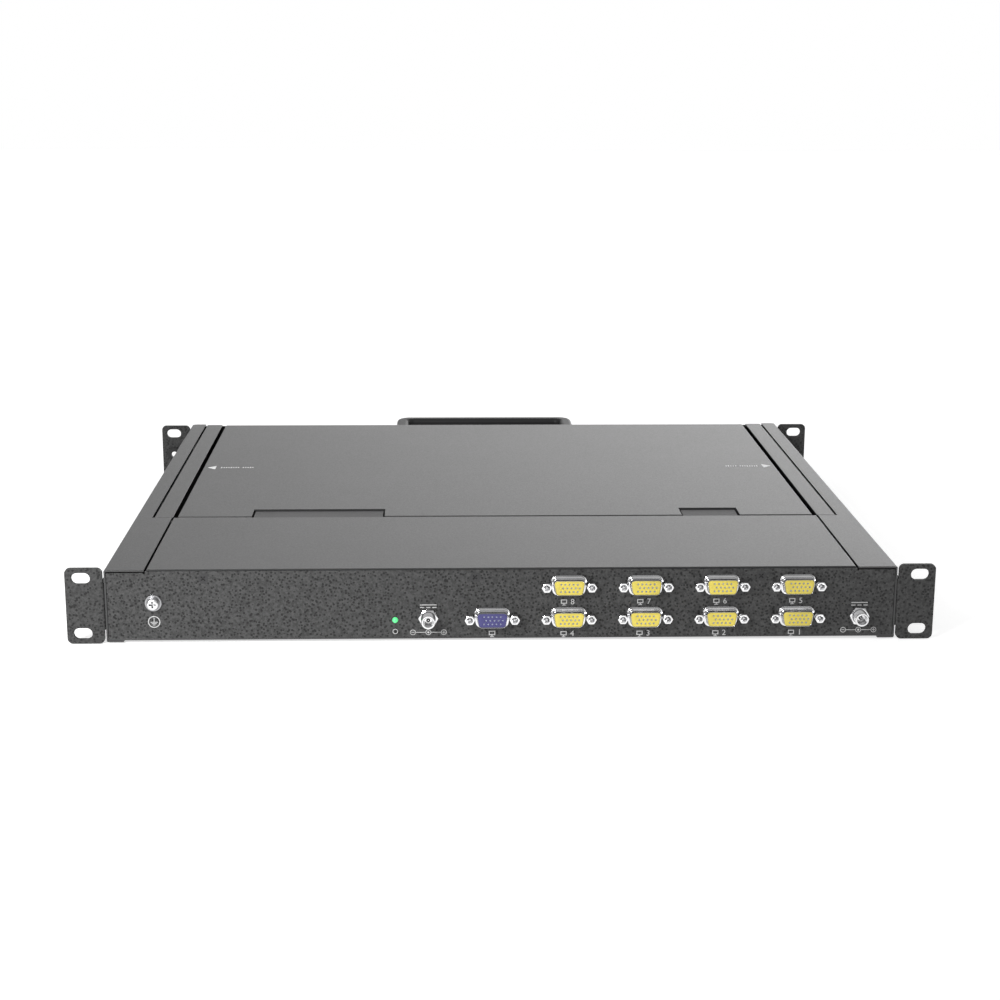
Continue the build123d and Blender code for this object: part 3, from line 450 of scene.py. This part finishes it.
def circle(centre, radius, y, steps=32):
    """A ring round an axis along Y. Centre is a point, radius and y are in millimetres from it."""
    turn = 2 * math.pi / steps
    return [centre + Vector((math.cos(i * turn) * radius, y, math.sin(i * turn) * radius)) * MM
            for i in range(steps)]


def hexagon(centre, flats, y, steps, turn, limit=None):
    """A hexagonal ring; limit trims its corners back along a 30 degree chamfer."""
    ring = []
    for i in range(steps):
        angle = 2 * math.pi * i / steps
        within = (angle - turn) % (math.pi / 3) - math.pi / 6
        radius = flats / 2 / math.cos(within)
        drop = 0.0 if limit is None else max(0.0, radius - limit) * math.tan(math.radians(30))
        ring.append(centre + Vector((math.cos(angle) * radius, y - drop, math.sin(angle) * radius)) * MM)
    return ring


def text_mesh(body, size):
    """Flat lettering in the XY plane, a little thick, with its middle at the origin."""
    curve = bpy.data.curves.new("lettering", "FONT")
    curve.body = body
    curve.size = size * MM
    curve.align_x = "CENTER"
    curve.align_y = "CENTER"
    curve.extrude = 0.02 * MM
    curve.resolution_u = 3
    curve.space_character = 1.08
    holder = bpy.data.objects.new("lettering", curve)
    bpy.context.scene.collection.objects.link(holder)
    bpy.context.view_layer.update()
    mesh = bpy.data.meshes.new_from_object(holder.evaluated_get(bpy.context.evaluated_depsgraph_get()))
    bpy.data.objects.remove(holder)
    bpy.data.curves.remove(curve)
    return mesh


def plate_mesh(outlines, thick, edge):
    """A plate in the XY plane from cyclic outlines, inner ones cut through, its rims rounded by edge."""
    curve = bpy.data.curves.new("plate", "CURVE")
    curve.dimensions = "2D"
    curve.fill_mode = "BOTH"
    curve.extrude = thick / 2 * MM - edge * MM
    curve.bevel_depth = edge * MM
    curve.bevel_resolution = 1
    curve.offset = -edge * MM
    for outline in outlines:
        spline = curve.splines.new("POLY")
        spline.points.add(len(outline) - 1)
        for point, (u, v) in zip(spline.points, outline):
            point.co = (u * MM, v * MM, 0, 1)
        spline.use_cyclic_u = True
    holder = bpy.data.objects.new("plate", curve)
    bpy.context.scene.collection.objects.link(holder)
    bpy.context.view_layer.update()
    mesh = bpy.data.meshes.new_from_object(holder.evaluated_get(bpy.context.evaluated_depsgraph_get()))
    bpy.data.objects.remove(holder)
    bpy.data.curves.remove(curve)
    return mesh


def on_rear(mesh, x, z, y):
    """Turns a flat mesh to face the rear, its right-hand side towards -X, at x, y, z in metres."""
    turn = Matrix(((-1, 0, 0, x), (0, 0, 1, y), (0, 1, 0, z), (0, 0, 0, 1)))
    mesh.transform(turn)
    return mesh


def disc(centre_u, centre_v, radius, steps):
    turn = 2 * math.pi / steps
    return [(centre_u + radius * math.cos(i * turn), centre_v + radius * math.sin(i * turn))
            for i in range(steps)]


def bar(u, v):
    return [(u[0], v[0]), (u[1], v[0]), (u[1], v[1]), (u[0], v[1])]


# ---------------------------------------------------------------- connectors


def shell_outline(grow, steps=7):
    """The D outline, wide side up, as (across, up) points in millimetres."""
    slope = math.atan((SHELL_WIDTH - SHELL_FOOT_WIDTH) / 2 / SHELL_HEIGHT)
    half = SHELL_WIDTH / 2
    r = SHELL_CORNER
    top_u = half - r * (1 + math.sin(slope)) / math.cos(slope)
    low_u = half - (r + math.sin(slope) * (SHELL_HEIGHT - r)) / math.cos(slope)
    v = SHELL_HEIGHT / 2 - r
    quarter = math.pi / 2
    corners = [(top_u, v, quarter, -slope), (low_u, -v, -slope, -quarter),
               (-low_u, -v, -quarter, slope - 2 * quarter), (-top_u, v, slope + 2 * quarter, quarter)]
    points = []
    for u, w, first, last in corners:
        for i in range(steps + 1):
            angle = first + (last - first) * i / steps
            points.append((u + (r + grow) * math.cos(angle), w + (r + grow) * math.sin(angle)))
    return points


def shell_ring(centre, grow, y):
    return [centre + Vector((u, y, v)) * MM for u, v in shell_outline(grow)]


def port_centres():
    """Port centres on the panel's rear face: the eight computer ports, then the console's."""
    names = ["computer_port_%d" % number for number in range(1, 9)] + ["console_port"]
    return [Vector((MOUNTS[name].x, REAR_FACE, MOUNTS[name].z)) for name in names]


def port_shells():
    """Drawn nickel shells: a flared foot, a D tube and a rolled rim."""
    skin = Skin()
    profile = [(SHELL_FLARE, 0.02), (SHELL_FLARE, 0.3), (SHELL_FLARE - 0.1, 0.42)]
    radius = SHELL_FLARE - 0.25
    for i in range(7):
        angle = math.pi / 2 * i / 6
        profile.append((radius * (1 - math.sin(angle)), 0.45 + radius * (1 - math.cos(angle))))
    profile += [(0, SHELL_OUT - 0.25), (-0.05, SHELL_OUT - 0.08), (-SHELL_WALL / 2, SHELL_OUT),
                (-SHELL_WALL + 0.05, SHELL_OUT - 0.08), (-SHELL_WALL, SHELL_OUT - 0.25),
                (-SHELL_WALL, -6.5), (0, -6.5), (0, 0.02)]
    for centre in port_centres():
        skin.loft([shell_ring(centre, grow, y) for grow, y in profile], closed=True)
    return place(skin.become("port_shells_drawn", MATERIALS["nickel"], 50), "port_shells")


def contact_places():
    """Three rows of five contacts, the middle row half a pitch towards -X."""
    for row in (-1, 0, 1):
        for column in range(-2, 3):
            yield column * CONTACT_PITCH - (CONTACT_PITCH / 2 if row == 0 else 0), row * CONTACT_ROW_PITCH


def port_inserts(node, centres, finish):
    """The coloured socket faces, rim rounded, with fifteen open contact holes each."""
    skin = Skin()
    face = SHELL_OUT - INSERT_BELOW_RIM
    for centre in centres:
        outlines = [shell_outline(-SHELL_WALL - 0.06)]
        outlines += [disc(u, v, CONTACT_R, 14) for u, v in contact_places()]
        mesh = plate_mesh(outlines, INSERT_THICK, INSERT_ROUND)
        middle = REAR_FACE + (face - INSERT_THICK / 2) * MM
        mesh.transform(Matrix(((1, 0, 0, centre.x), (0, 0, 1, middle), (0, 1, 0, centre.z), (0, 0, 0, 1))))
        skin.take(mesh)
    return place(skin.become(node + "_moulded", finish, 40), node)


def port_contacts():
    """A spring sleeve just inside each contact hole, tinted blue-grey as a painted reflection."""
    skin = Skin()
    top = SHELL_OUT - INSERT_BELOW_RIM - 0.1
    profile = [(0.47, 1.0), (0.47, top - 0.1), (0.4, top), (0.22, top - 0.05), (0.2, top - 0.2), (0.2, 1.0)]
    for centre in port_centres():
        for u, v in contact_places():
            middle = centre + Vector((u, 0, v)) * MM
            skin.loft([circle(middle, r, y, 12) for r, y in profile], closed=True)
    made = skin.become("port_contact_sleeves", CONTACT_METAL)
    return place(made, "port_shells", replaced=False)


def threads(radius, depth, pitch, start, end):
    """Profile points of a thread, as (radius, along) pairs from start to end."""
    points = []
    count = int(abs(end - start) / pitch)
    step = pitch if end > start else -pitch
    for i in range(count):
        along = start + i * step
        points += [(radius, along), (radius - depth, along + step / 2)]
    return points


def port_jackscrews():
    """Hexagonal screw locks with chamfered corners and a threaded bore."""
    skin = Skin()
    steps = 48
    for low, high in solids("port_jackscrews"):
        centre = Vector(((low.x + high.x) / 2, REAR_FACE, (low.z + high.z) / 2))
        out = (high.y - REAR_FACE) / MM
        rings = [circle(centre, 1.35, -5.5, steps), circle(centre, 1.35, 0.02, steps),
                 hexagon(centre, SCREW_LOCK_FLATS, 0.02, steps, 0.0),
                 hexagon(centre, SCREW_LOCK_FLATS, out, steps, 0.0, SCREW_LOCK_FACE_R),
                 circle(centre, SCREW_LOCK_FACE_R, out, steps), circle(centre, 1.75, out, steps),
                 circle(centre, 1.45, out - 0.35, steps)]
        for radius, along in threads(1.42, 0.2, 0.64, out - 0.45, 1.0):
            rings.append(circle(centre, radius, along, steps))
        rings.append(circle(centre, 0.6, 0.7, steps))
        skin.loft(rings)
    return place(skin.become("port_jackscrews_turned", MATERIALS["nickel"], 28), "port_jackscrews")


def reach(node):
    """How far a node stands out of the rear panel, in millimetres."""
    return (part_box(node)[1].y - REAR_FACE) / MM


def jack_centres():
    names = ("power_jack_main", "power_jack_second")
    return [Vector((MOUNTS[name].x, REAR_FACE, MOUNTS[name].z)) for name in names]


def power_jacks():
    """Threaded barrels with a chamfered mouth, a polished bore and a floor deep inside."""
    skin = Skin()
    out = reach("power_jacks")
    for centre in jack_centres():
        profile = [(3.3, -1.1), (JACK_ROOT_R, -1.1), (JACK_ROOT_R, 2.2)]
        profile += threads(JACK_R, 0.26, 0.75, 2.3, out - 0.9)
        floor = out - JACK_FLOOR_DEEP
        profile += [(JACK_R, out - 0.75), (JACK_R, out - 0.45), (3.55, out - 0.03), (3.35, out), (2.95, out),
                    (2.72, out - 0.25), (2.68, floor), (1.15, floor), (1.1, floor - 0.1), (1.1, -1.0)]
        skin.loft([circle(centre, r, y, 48) for r, y in profile], closed=True)
    return place(skin.become("power_jacks_turned", MATERIALS["nickel"], 28), "power_jacks")


def power_jack_pins():
    """Slim centre pins with a domed tip."""
    skin = Skin()
    out = reach("power_jacks")
    tip = out - JACK_FLOOR_DEEP + 0.5
    for centre in jack_centres():
        profile = [(0.5, -1.0), (0.5, tip - 0.4), (0.42, tip - 0.15), (0.25, tip), (0.08, tip + 0.04)]
        skin.loft([circle(centre, r, y, 20) for r, y in profile])
    return place(skin.become("power_jack_pins_turned", MATERIALS["nickel"], 60), "power_jack_pins")


def power_jack_insulators():
    """Black bushes that hold the pins in the barrels."""
    skin = Skin()
    out = reach("power_jacks")
    for centre in jack_centres():
        profile = [(1.08, -0.9), (1.08, out - 5.4), (0.98, out - 5.3), (0.6, out - 5.3), (0.52, out - 5.4),
                   (0.52, -0.9)]
        skin.loft([circle(centre, r, y, 24) for r, y in profile], closed=True)
    made = skin.become("power_jack_insulators", MATERIALS["connector_black"])
    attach(made, NODES["power_jacks"]["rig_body"])
    return made


def power_jack_nuts():
    """Hexagonal panel nuts, chamfered outside, over a thin serrated washer."""
    skin = Skin()
    steps = 72
    thick = reach("power_jack_nuts")
    for centre, turn in zip(jack_centres(), (0.0, math.radians(4))):
        rings = [hexagon(centre, NUT_FLATS, 0.45, steps, turn),
                 hexagon(centre, NUT_FLATS, thick, steps, turn, NUT_FACE_R),
                 circle(centre, NUT_FACE_R, thick, steps), circle(centre, 4.1, thick, steps),
                 circle(centre, NUT_BORE_R, thick - 0.25, steps), circle(centre, NUT_BORE_R, 0.45, steps)]
        skin.loft(rings, closed=True)
        teeth = [centre + (point - centre) * (1.0 if i % 3 else 0.94)
                 for i, point in enumerate(circle(centre, 5.0, 0.0, steps))]
        back = [point + Vector((0, 0.02 * MM, 0)) for point in teeth]
        front = [point + Vector((0, 0.42 * MM, 0)) for point in teeth]
        bore = [circle(centre, 3.9, y, steps) for y in (0.42, 0.02)]
        skin.loft([back, front] + bore, closed=True)
    return place(skin.become("power_jack_nuts_chamfered", MATERIALS["nickel"], 28), "power_jack_nuts")


# ---------------------------------------------------------------- screws


def add_cross(skin, point, side):
    """Adds a cross-recess cutter to the head of a side screw, tapering inwards. Side is 1 or -1."""
    out = Vector((side, 0, 0))
    across = Vector((0, 1, 0))
    up = Vector((0, 0, 1))
    for one, two in ((across, up), (up, across)):
        rings = []
        for along, half, wide in ((0.6, CROSS_HALF, 0.42), (-CROSS_DEEP, CROSS_HALF * 0.45, 0.26)):
            middle = point + out * along * MM
            rings.append([middle + one * half * su * MM + two * wide * sv * MM
                          for su, sv in ((1, 1), (1, -1), (-1, -1), (-1, 1))])
        skin.loft(rings)


def ground_terminal():
    """The bright ground screw on its duller washers."""
    softened("ground_screw", 0.15, SCREW_METAL)
    softened("ground_washer", 0.12, WASHER_METAL)


def cover_screws():
    """Countersunk screws coated like the panel; their drives show dark from painted shade in the recess."""
    softened("rear_cover_screws", 0.06, COATED_SCREW)


def side_screws():
    """Pan-head screws with cross recesses on both sides of the chassis."""
    cutters = Skin()
    for low, high in solids("side_screws"):
        side = 1 if high.x > 0 else -1
        tip = high.x if side > 0 else low.x
        point = Vector((tip, (low.y + high.y) / 2, (low.z + high.z) / 2))
        add_cross(cutters, point, side)
    tool = cutters.become("side_drive_cutters", MATERIALS["black_screw"], 0)
    softened("side_screws", 0.08, tools=tool)


# ---------------------------------------------------------------- keyboard

CAP_SIDE = ((0.0, 0.0), (0.05, 0.5), (1.35, 6.4), (1.6, 7.15), (1.85, 7.45), (2.2, 7.58), (2.6, 7.6))
CAP_DISH = ((2.6, 0.0), (3.6, 0.12), (5.2, 0.25), (7.0, 0.3))
MAIN_LEGENDS = (
    ["Esc"] + ["F%d" % number for number in range(1, 13)] + ["Prt", "Del"],
    list("`1234567890-=") + ["Back"],
    ["Tab"] + list("QWERTYUIOP[]") + ["\\"],
    ["Caps"] + list("ASDFGHJKL;'") + ["Enter"],
    ["Shift"] + list("ZXCVBNM,./") + ["Shift", "up"],
    ["Ctrl", "Fn", "Alt", "Alt", "Fn", "Ctrl", "left", "down", "right"],
)
NUMBER_LEGENDS = (["Home", "End", "PgU", "PgD"], ["Num", "/", "*", "-"], list("789+"), list("456="),
                  list("123,"), ["0", ".", "Ent"])
ARROWS = {"up": 90, "left": 180, "down": 270, "right": 0}


def cap_ring(low, high, inset, z, corner, steps=4):
    """A rounded rectangle inside a cap's footprint, inset in millimetres."""
    x = (low.x + inset * MM, high.x - inset * MM)
    y = (low.y + inset * MM, high.y - inset * MM)
    r = min(corner * MM, (x[1] - x[0]) * 0.45, (y[1] - y[0]) * 0.45)
    ring = []
    for centre_x, centre_y, first in ((x[1] - r, y[1] - r, 0), (x[0] + r, y[1] - r, 90),
                                      (x[0] + r, y[0] + r, 180), (x[1] - r, y[0] + r, 270)):
        for i in range(steps + 1):
            angle = math.radians(first + 90 * i / steps)
            ring.append(Vector((centre_x + r * math.cos(angle), centre_y + r * math.sin(angle), z)))
    return ring


def keycap(skin, low, high):
    """A sculpted cap: leaning sides, a rounded rim and a shallow dish."""
    rings = [cap_ring(low, high, inset, low.z + rise * MM, 1.4 + inset * 0.25) for inset, rise in CAP_SIDE]
    rings += [cap_ring(low, high, inset, high.z - depth * MM, 1.8) for inset, depth in CAP_DISH[1:]]
    skin.loft(rings)


def dish_depth(low, high, x, y):
    """How far the cap's top lies below its rim at a point."""
    inset = min(x - low.x, high.x - x, y - low.y, high.y - y) / MM
    for (first, depth), (last, deeper) in zip(CAP_DISH, CAP_DISH[1:]):
        if inset < last:
            share = max(0.0, (inset - first) / (last - first))
            return (depth + (deeper - depth) * share) * MM
    return CAP_DISH[-1][1] * MM


def legend_mesh(text):
    if text in ARROWS:
        outline = [(1.1, 0.0), (-0.8, 1.0), (-0.8, -1.0)]
        mesh = plate_mesh([outline], 0.1, 0.01)
        mesh.transform(Matrix.Rotation(math.radians(ARROWS[text]), 4, "Z"))
        return mesh
    return text_mesh(text, 4.6 if len(text) == 1 else 3.0)


def key_rows(boxes):
    """The caps in rows from the rear, each from the user's left."""
    rows = {}
    for low, high in boxes:
        rows.setdefault(round(high.y / MM), []).append((low, high))
    return [sorted(rows[y], key=lambda b: b[0].x) for y in sorted(rows, reverse=True)]


def keyboard():
    boxes = solids("keycaps")
    caps = Skin()
    legends = Skin()
    for low, high in boxes:
        keycap(caps, low, high)
    for row, main, numbers in zip(key_rows(boxes), MAIN_LEGENDS, NUMBER_LEGENDS):
        for (low, high), text in zip(row, main + numbers):
            mesh = legend_mesh(text)
            middle = (low + high) / 2
            shift = 0.0 if text in ARROWS else 0.7 * MM
            mesh.transform(Matrix.Translation((middle.x, middle.y + shift, 0)))
            for vertex in mesh.vertices:
                sunk = dish_depth(low, high, vertex.co.x, vertex.co.y)
                vertex.co.z += high.z - sunk + 0.03 * MM
            legends.take(mesh)
    place(caps.become("keycaps_sculpted", MATERIALS["key_black"], 50), "keycaps")
    marks = legends.become("key_legends", LEGEND, 30)
    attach(marks, NODES["keycaps"]["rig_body"])
    space = Skin()
    for low, high in solids("space_bar"):
        keycap(space, low, high)
    place(space.become("space_bar_sculpted", MATERIALS["key_black"], 50), "space_bar")


# ---------------------------------------------------------------- prints

PRINT_OUT = 0.03
PRINT_THICK = 0.05
PRINT_EDGE = 0.004
PORT_ICON = 3.4
PORT_DIGIT = 4.6
PORT_DIGIT_RIGHT = 2.2
CONSOLE_ICON = 3.6
UPPER_MARK_Z = 0.6
LOWER_MARK_Z = -17.9
CONSOLE_MARK_Z = -17.5
SUPPLY_MARK_Z = -1.4
POLARITY_MARK_Z = -16.6
GROUND_MARK_Z = -9.6
LAMP_MARK_Z = -16.0
ARROW_Y = 131.0
ARROW_TIP_X = 192.0
ARROW_BASE_X = 186.4
ARROW_HALF = 5.0
TICK_START_X = 182.5
TICK_PITCH = 1.62
TICKS = 14
TICK_GAP = 8


def screen_icon(u, v, size):
    """A small display on its stand: a frame, a neck and a foot."""
    half = size / 2
    frame_lines = [bar((u - half, u + half), (v - half * 0.55, v + half * 0.85)),
                   bar((u - half + 0.45, u + half - 0.45), (v - half * 0.55 + 0.45, v + half * 0.85 - 0.45))]
    return frame_lines + [bar((u - 0.3, u + 0.3), (v - half * 0.9, v - half * 0.55 - 0.05)),
                          bar((u - half * 0.6, u + half * 0.6), (v - half * 1.15, v - half * 0.95))]


def ring_icon(u, v, radius, line=0.35):
    return [disc(u, v, radius, 28), disc(u, v, radius - line, 28)]


def print_on_rear(skin, outlines, x, z):
    skin.take(on_rear(plate_mesh(outlines, PRINT_THICK, PRINT_EDGE), x, z, REAR_FACE + PRINT_OUT * MM))


def port_marks(skin):
    """Each computer port's number beside a small screen; the console port has a screen alone."""
    ports = [MOUNTS["computer_port_%d" % number] for number in range(1, 9)]
    columns = sorted({round(port.x, 4) for port in ports})
    for port in ports:
        upper = port.z > 0
        z = (UPPER_MARK_Z if upper else LOWER_MARK_Z) * MM
        number = columns.index(round(port.x, 4)) + (5 if upper else 1)
        print_on_rear(skin, screen_icon(-2.6, 0, PORT_ICON), port.x, z)
        digit = text_mesh(str(number), PORT_DIGIT)
        skin.take(on_rear(digit, port.x - PORT_DIGIT_RIGHT * MM, z, REAR_FACE + PRINT_OUT * MM))
    print_on_rear(skin, screen_icon(0, 0, CONSOLE_ICON), MOUNTS["console_port"].x, CONSOLE_MARK_Z * MM)


def power_marks(skin):
    """Direct current over each power jack, and its polarity under it."""
    for centre in jack_centres():
        dashes = [bar((-4.6, 4.6), (0.5, 1.0))]
        dashes += [bar((u - 1.15, u + 1.15), (-1.0, -0.5)) for u in (-3.45, 0.0, 3.45)]
        print_on_rear(skin, dashes, centre.x, SUPPLY_MARK_Z * MM)
        marks = ring_icon(-8.6, 0, 1.6) + [bar((-9.5, -7.7), (-0.17, 0.17))]
        marks += ring_icon(8.6, 0, 1.6) + [bar((7.7, 9.5), (-0.17, 0.17)), bar((8.43, 8.77), (0.22, 0.9)),
                                            bar((8.43, 8.77), (-0.9, -0.22))]
        marks += ring_icon(0, 0, 1.6) + [disc(0, 0, 0.6, 20)]
        marks += [bar((-6.9, -1.7), (-0.17, 0.17)), bar((1.7, 6.9), (-0.17, 0.17))]
        print_on_rear(skin, marks, centre.x, POLARITY_MARK_Z * MM)


def ground_mark(skin):
    """Protective earth: three shortening lines under a stem, in a ring."""
    low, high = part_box("ground_screw")
    marks = ring_icon(0, 0, 3.4, 0.5) + [bar((-0.2, 0.2), (0.05, 2.4))]
    for half, level in ((2.0, -0.2), (1.35, -1.0), (0.6, -1.8)):
        marks.append(bar((-half, half), (level - 0.2, level + 0.2)))
    print_on_rear(skin, marks, (low.x + high.x) / 2, GROUND_MARK_Z * MM)


def lamp_mark(skin):
    low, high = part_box("power_led")
    print_on_rear(skin, ring_icon(0, 0, 1.5, 0.38), (low.x + high.x) / 2, LAMP_MARK_Z * MM)


def rear_print():
    skin = Skin()
    port_marks(skin)
    power_marks(skin)
    ground_mark(skin)
    lamp_mark(skin)
    made = skin.become("rear_panel_print", PRINT, 30)
    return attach(made, NODES["rear_panel"]["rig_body"])


def lid_print():
    """White arrowheads pointing at both sides of the lid, each with a row of ticks."""
    skin = Skin()
    for side in (-1, 1):
        tip, base, half = side * ARROW_TIP_X, side * ARROW_BASE_X, side * ARROW_HALF
        outlines = [[(tip, ARROW_Y), (base, ARROW_Y + half), (base, ARROW_Y - half)]]
        for i in range(TICKS):
            if i == TICK_GAP:
                continue
            u = side * (TICK_START_X - i * TICK_PITCH)
            tall = 1.5 if i % 4 == 0 else 1.0
            outlines.append(bar((u - 0.38, u + 0.38), (ARROW_Y - tall, ARROW_Y + tall)))
        mesh = plate_mesh(outlines, PRINT_THICK, PRINT_EDGE)
        mesh.transform(Matrix.Translation((0, 0, LID_TOP + 0.03 * MM)))
        skin.take(mesh)
    made = skin.become("lid_print", LID_PRINT, 30)
    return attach(made, NODES["lid_cover"]["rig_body"])


# ---------------------------------------------------------------- camera, floor and light

CAMERA_AT = (0.0367, 1.3661, 0.3089)
CAMERA_LENS = 66.97
CAMERA_HEADING = math.pi - 0.0350
CAMERA_TILT = math.pi / 2 - 0.2473
CAMERA_ROLL = 0.0048
KEY_AT = (0.5, 1.0, 0.45)
KEY_TOWARDS = (0.16, 0.378, 0)
KEY_SIZE = (0.3, 0.3)
KEY_POWER = 1.45
KEY_SPREAD = 70
WALL_BRIGHT_X = -0.45
WALL_DIM_X = 0.35
WALL_BRIGHT = 3.1
WALL_DIM = 0.72
WALL_FADE_Y = (0.25, -0.55)
CEILING_FADE_Z = (0.08, 0.52)
ROOM_BEHIND = 0.18
ROOM_ABOVE = 0.5
FLOOR_GAP = 0.0004


def photo_camera():
    data = bpy.data.cameras.new("photo_camera")
    data.lens = CAMERA_LENS
    data.sensor_width = 36
    data.clip_start = 0.01
    camera = bpy.data.objects.new("photo_camera", data)
    turn = (Matrix.Rotation(CAMERA_HEADING, 4, "Z") @ Matrix.Rotation(CAMERA_TILT, 4, "X")
            @ Matrix.Rotation(CAMERA_ROLL, 4, "Z"))
    camera.matrix_world = Matrix.Translation(CAMERA_AT) @ turn
    bpy.context.scene.collection.objects.link(camera)
    bpy.context.scene.camera = camera


def studio_floor():
    """A pale floor just under the object, with a soft mottle."""
    def build(tree):
        cloud = noise(tree, 3, 2.0)
        colours = ramp(tree, cloud, [(0.3, (0.7, 0.7, 0.7)), (0.7, (0.74, 0.74, 0.74))])
        return {"Base Color": colours, "Roughness": 0.9, "Specular IOR Level": 0.1,
                "Emission Color": (1, 1, 1, 1), "Emission Strength": 0.62}
    work = bmesh.new()
    bmesh.ops.create_grid(work, x_segments=8, y_segments=8, size=4.0)
    mesh = bpy.data.meshes.new("studio_floor")
    work.to_mesh(mesh)
    work.free()
    floor = show("studio_floor", mesh, material("pale_floor", build), sharp=0)
    floor.location = (0, 0, cad_low.z - FLOOR_GAP)


def lamp(name, at, towards, size, energy, spread):
    data = bpy.data.lights.new(name, "AREA")
    data.shape = "RECTANGLE"
    data.size, data.size_y = size
    data.energy = energy
    data.spread = math.radians(spread)
    made = bpy.data.objects.new(name, data)
    made.location = at
    made.rotation_euler = (Vector(towards) - Vector(at)).to_track_quat("-Z", "Y").to_euler()
    bpy.context.scene.collection.objects.link(made)


def sky(tree):
    """The studio's brightness by direction.

    A bright wall stands beyond the object, brightest towards -X. The room behind the camera is dim,
    and the ceiling lies between the two.
    """
    way = add(tree, "SeparateXYZ", {"Vector": add(tree, "TexCoord").outputs["Generated"]})

    def across(axis, start, end, low, high):
        inputs = {"Value": way.outputs[axis], "From Min": start, "From Max": end,
                  "To Min": low, "To Max": high}
        return add(tree, "MapRange", inputs, interpolation_type="SMOOTHSTEP").outputs["Result"]

    wall = across("X", WALL_BRIGHT_X, WALL_DIM_X, WALL_BRIGHT, WALL_DIM)
    around = mixed(tree, across("Y", *WALL_FADE_Y, 0.0, 1.0), ROOM_BEHIND, wall)
    return mixed(tree, across("Z", *CEILING_FADE_Z, 0.0, 1.0), around, ROOM_ABOVE)


def studio_light():
    """A white backdrop that only the camera sees, the sky's light and a key lamp at the photo's left."""
    world = bpy.data.worlds.new("studio")
    world.use_nodes = True
    tree = world.node_tree
    tree.nodes.clear()
    seen = add(tree, "Background", {"Color": (1, 1, 1, 1), "Strength": 1.0})
    light = add(tree, "Background", {"Color": (1, 1, 1, 1), "Strength": sky(tree)})
    choice = add(tree, "MixShader", {"Fac": add(tree, "LightPath").outputs["Is Camera Ray"]})
    tree.links.new(light.outputs["Background"], choice.inputs[1])
    tree.links.new(seen.outputs["Background"], choice.inputs[2])
    add(tree, "OutputWorld", {"Surface": choice.outputs["Shader"]})
    bpy.context.scene.world = world
    bpy.context.scene.view_settings.view_transform = "Standard"
    lamp("key_light", KEY_AT, KEY_TOWARDS, KEY_SIZE, KEY_POWER, KEY_SPREAD)


# ---------------------------------------------------------------- the object

# Millimetres by which the sharp edges of each finish are broken.
EDGE_WIDTHS = {
    "top_paint": 0.22, "rear_coat": 0.25, "bracket_coat": 0.35, "hinge_paint": 0.2, "handle_black": 0.2,
    "zinc_steel": 0.12, "black_screw": 0.08, "deck_black": 0.3, "bezel_black": 0.25, "pad_grey": 0.2,
    "screen": 0.1, "rubber": 0.4, "hinge_metal": 0.3, "led_lens": 0.1,
}
DEFAULT_EDGE = 0.12


def everything_else(done):
    """Every CAD node that has no piece of its own yet gets its edges broken and its finish."""
    for node in sorted(NODES):
        if node not in done:
            softened(node, EDGE_WIDTHS.get(SLOTS[node], DEFAULT_EDGE))


photo_camera()
studio_floor()
studio_light()
port_shells()
port_inserts("computer_port_inserts", port_centres()[:-1], MATERIALS["port_yellow"])
port_inserts("console_port_insert", port_centres()[-1:], MATERIALS["port_blue"])
port_contacts()
port_jackscrews()
power_jacks()
power_jack_pins()
power_jack_insulators()
power_jack_nuts()
ground_terminal()
cover_screws()
side_screws()
keyboard()
rear_print()
lid_print()
everything_else({"port_shells", "computer_port_inserts", "console_port_insert", "port_jackscrews",
                 "power_jacks", "power_jack_pins", "power_jack_nuts", "ground_screw", "ground_washer",
                 "rear_cover_screws", "side_screws", "keycaps", "space_bar"})
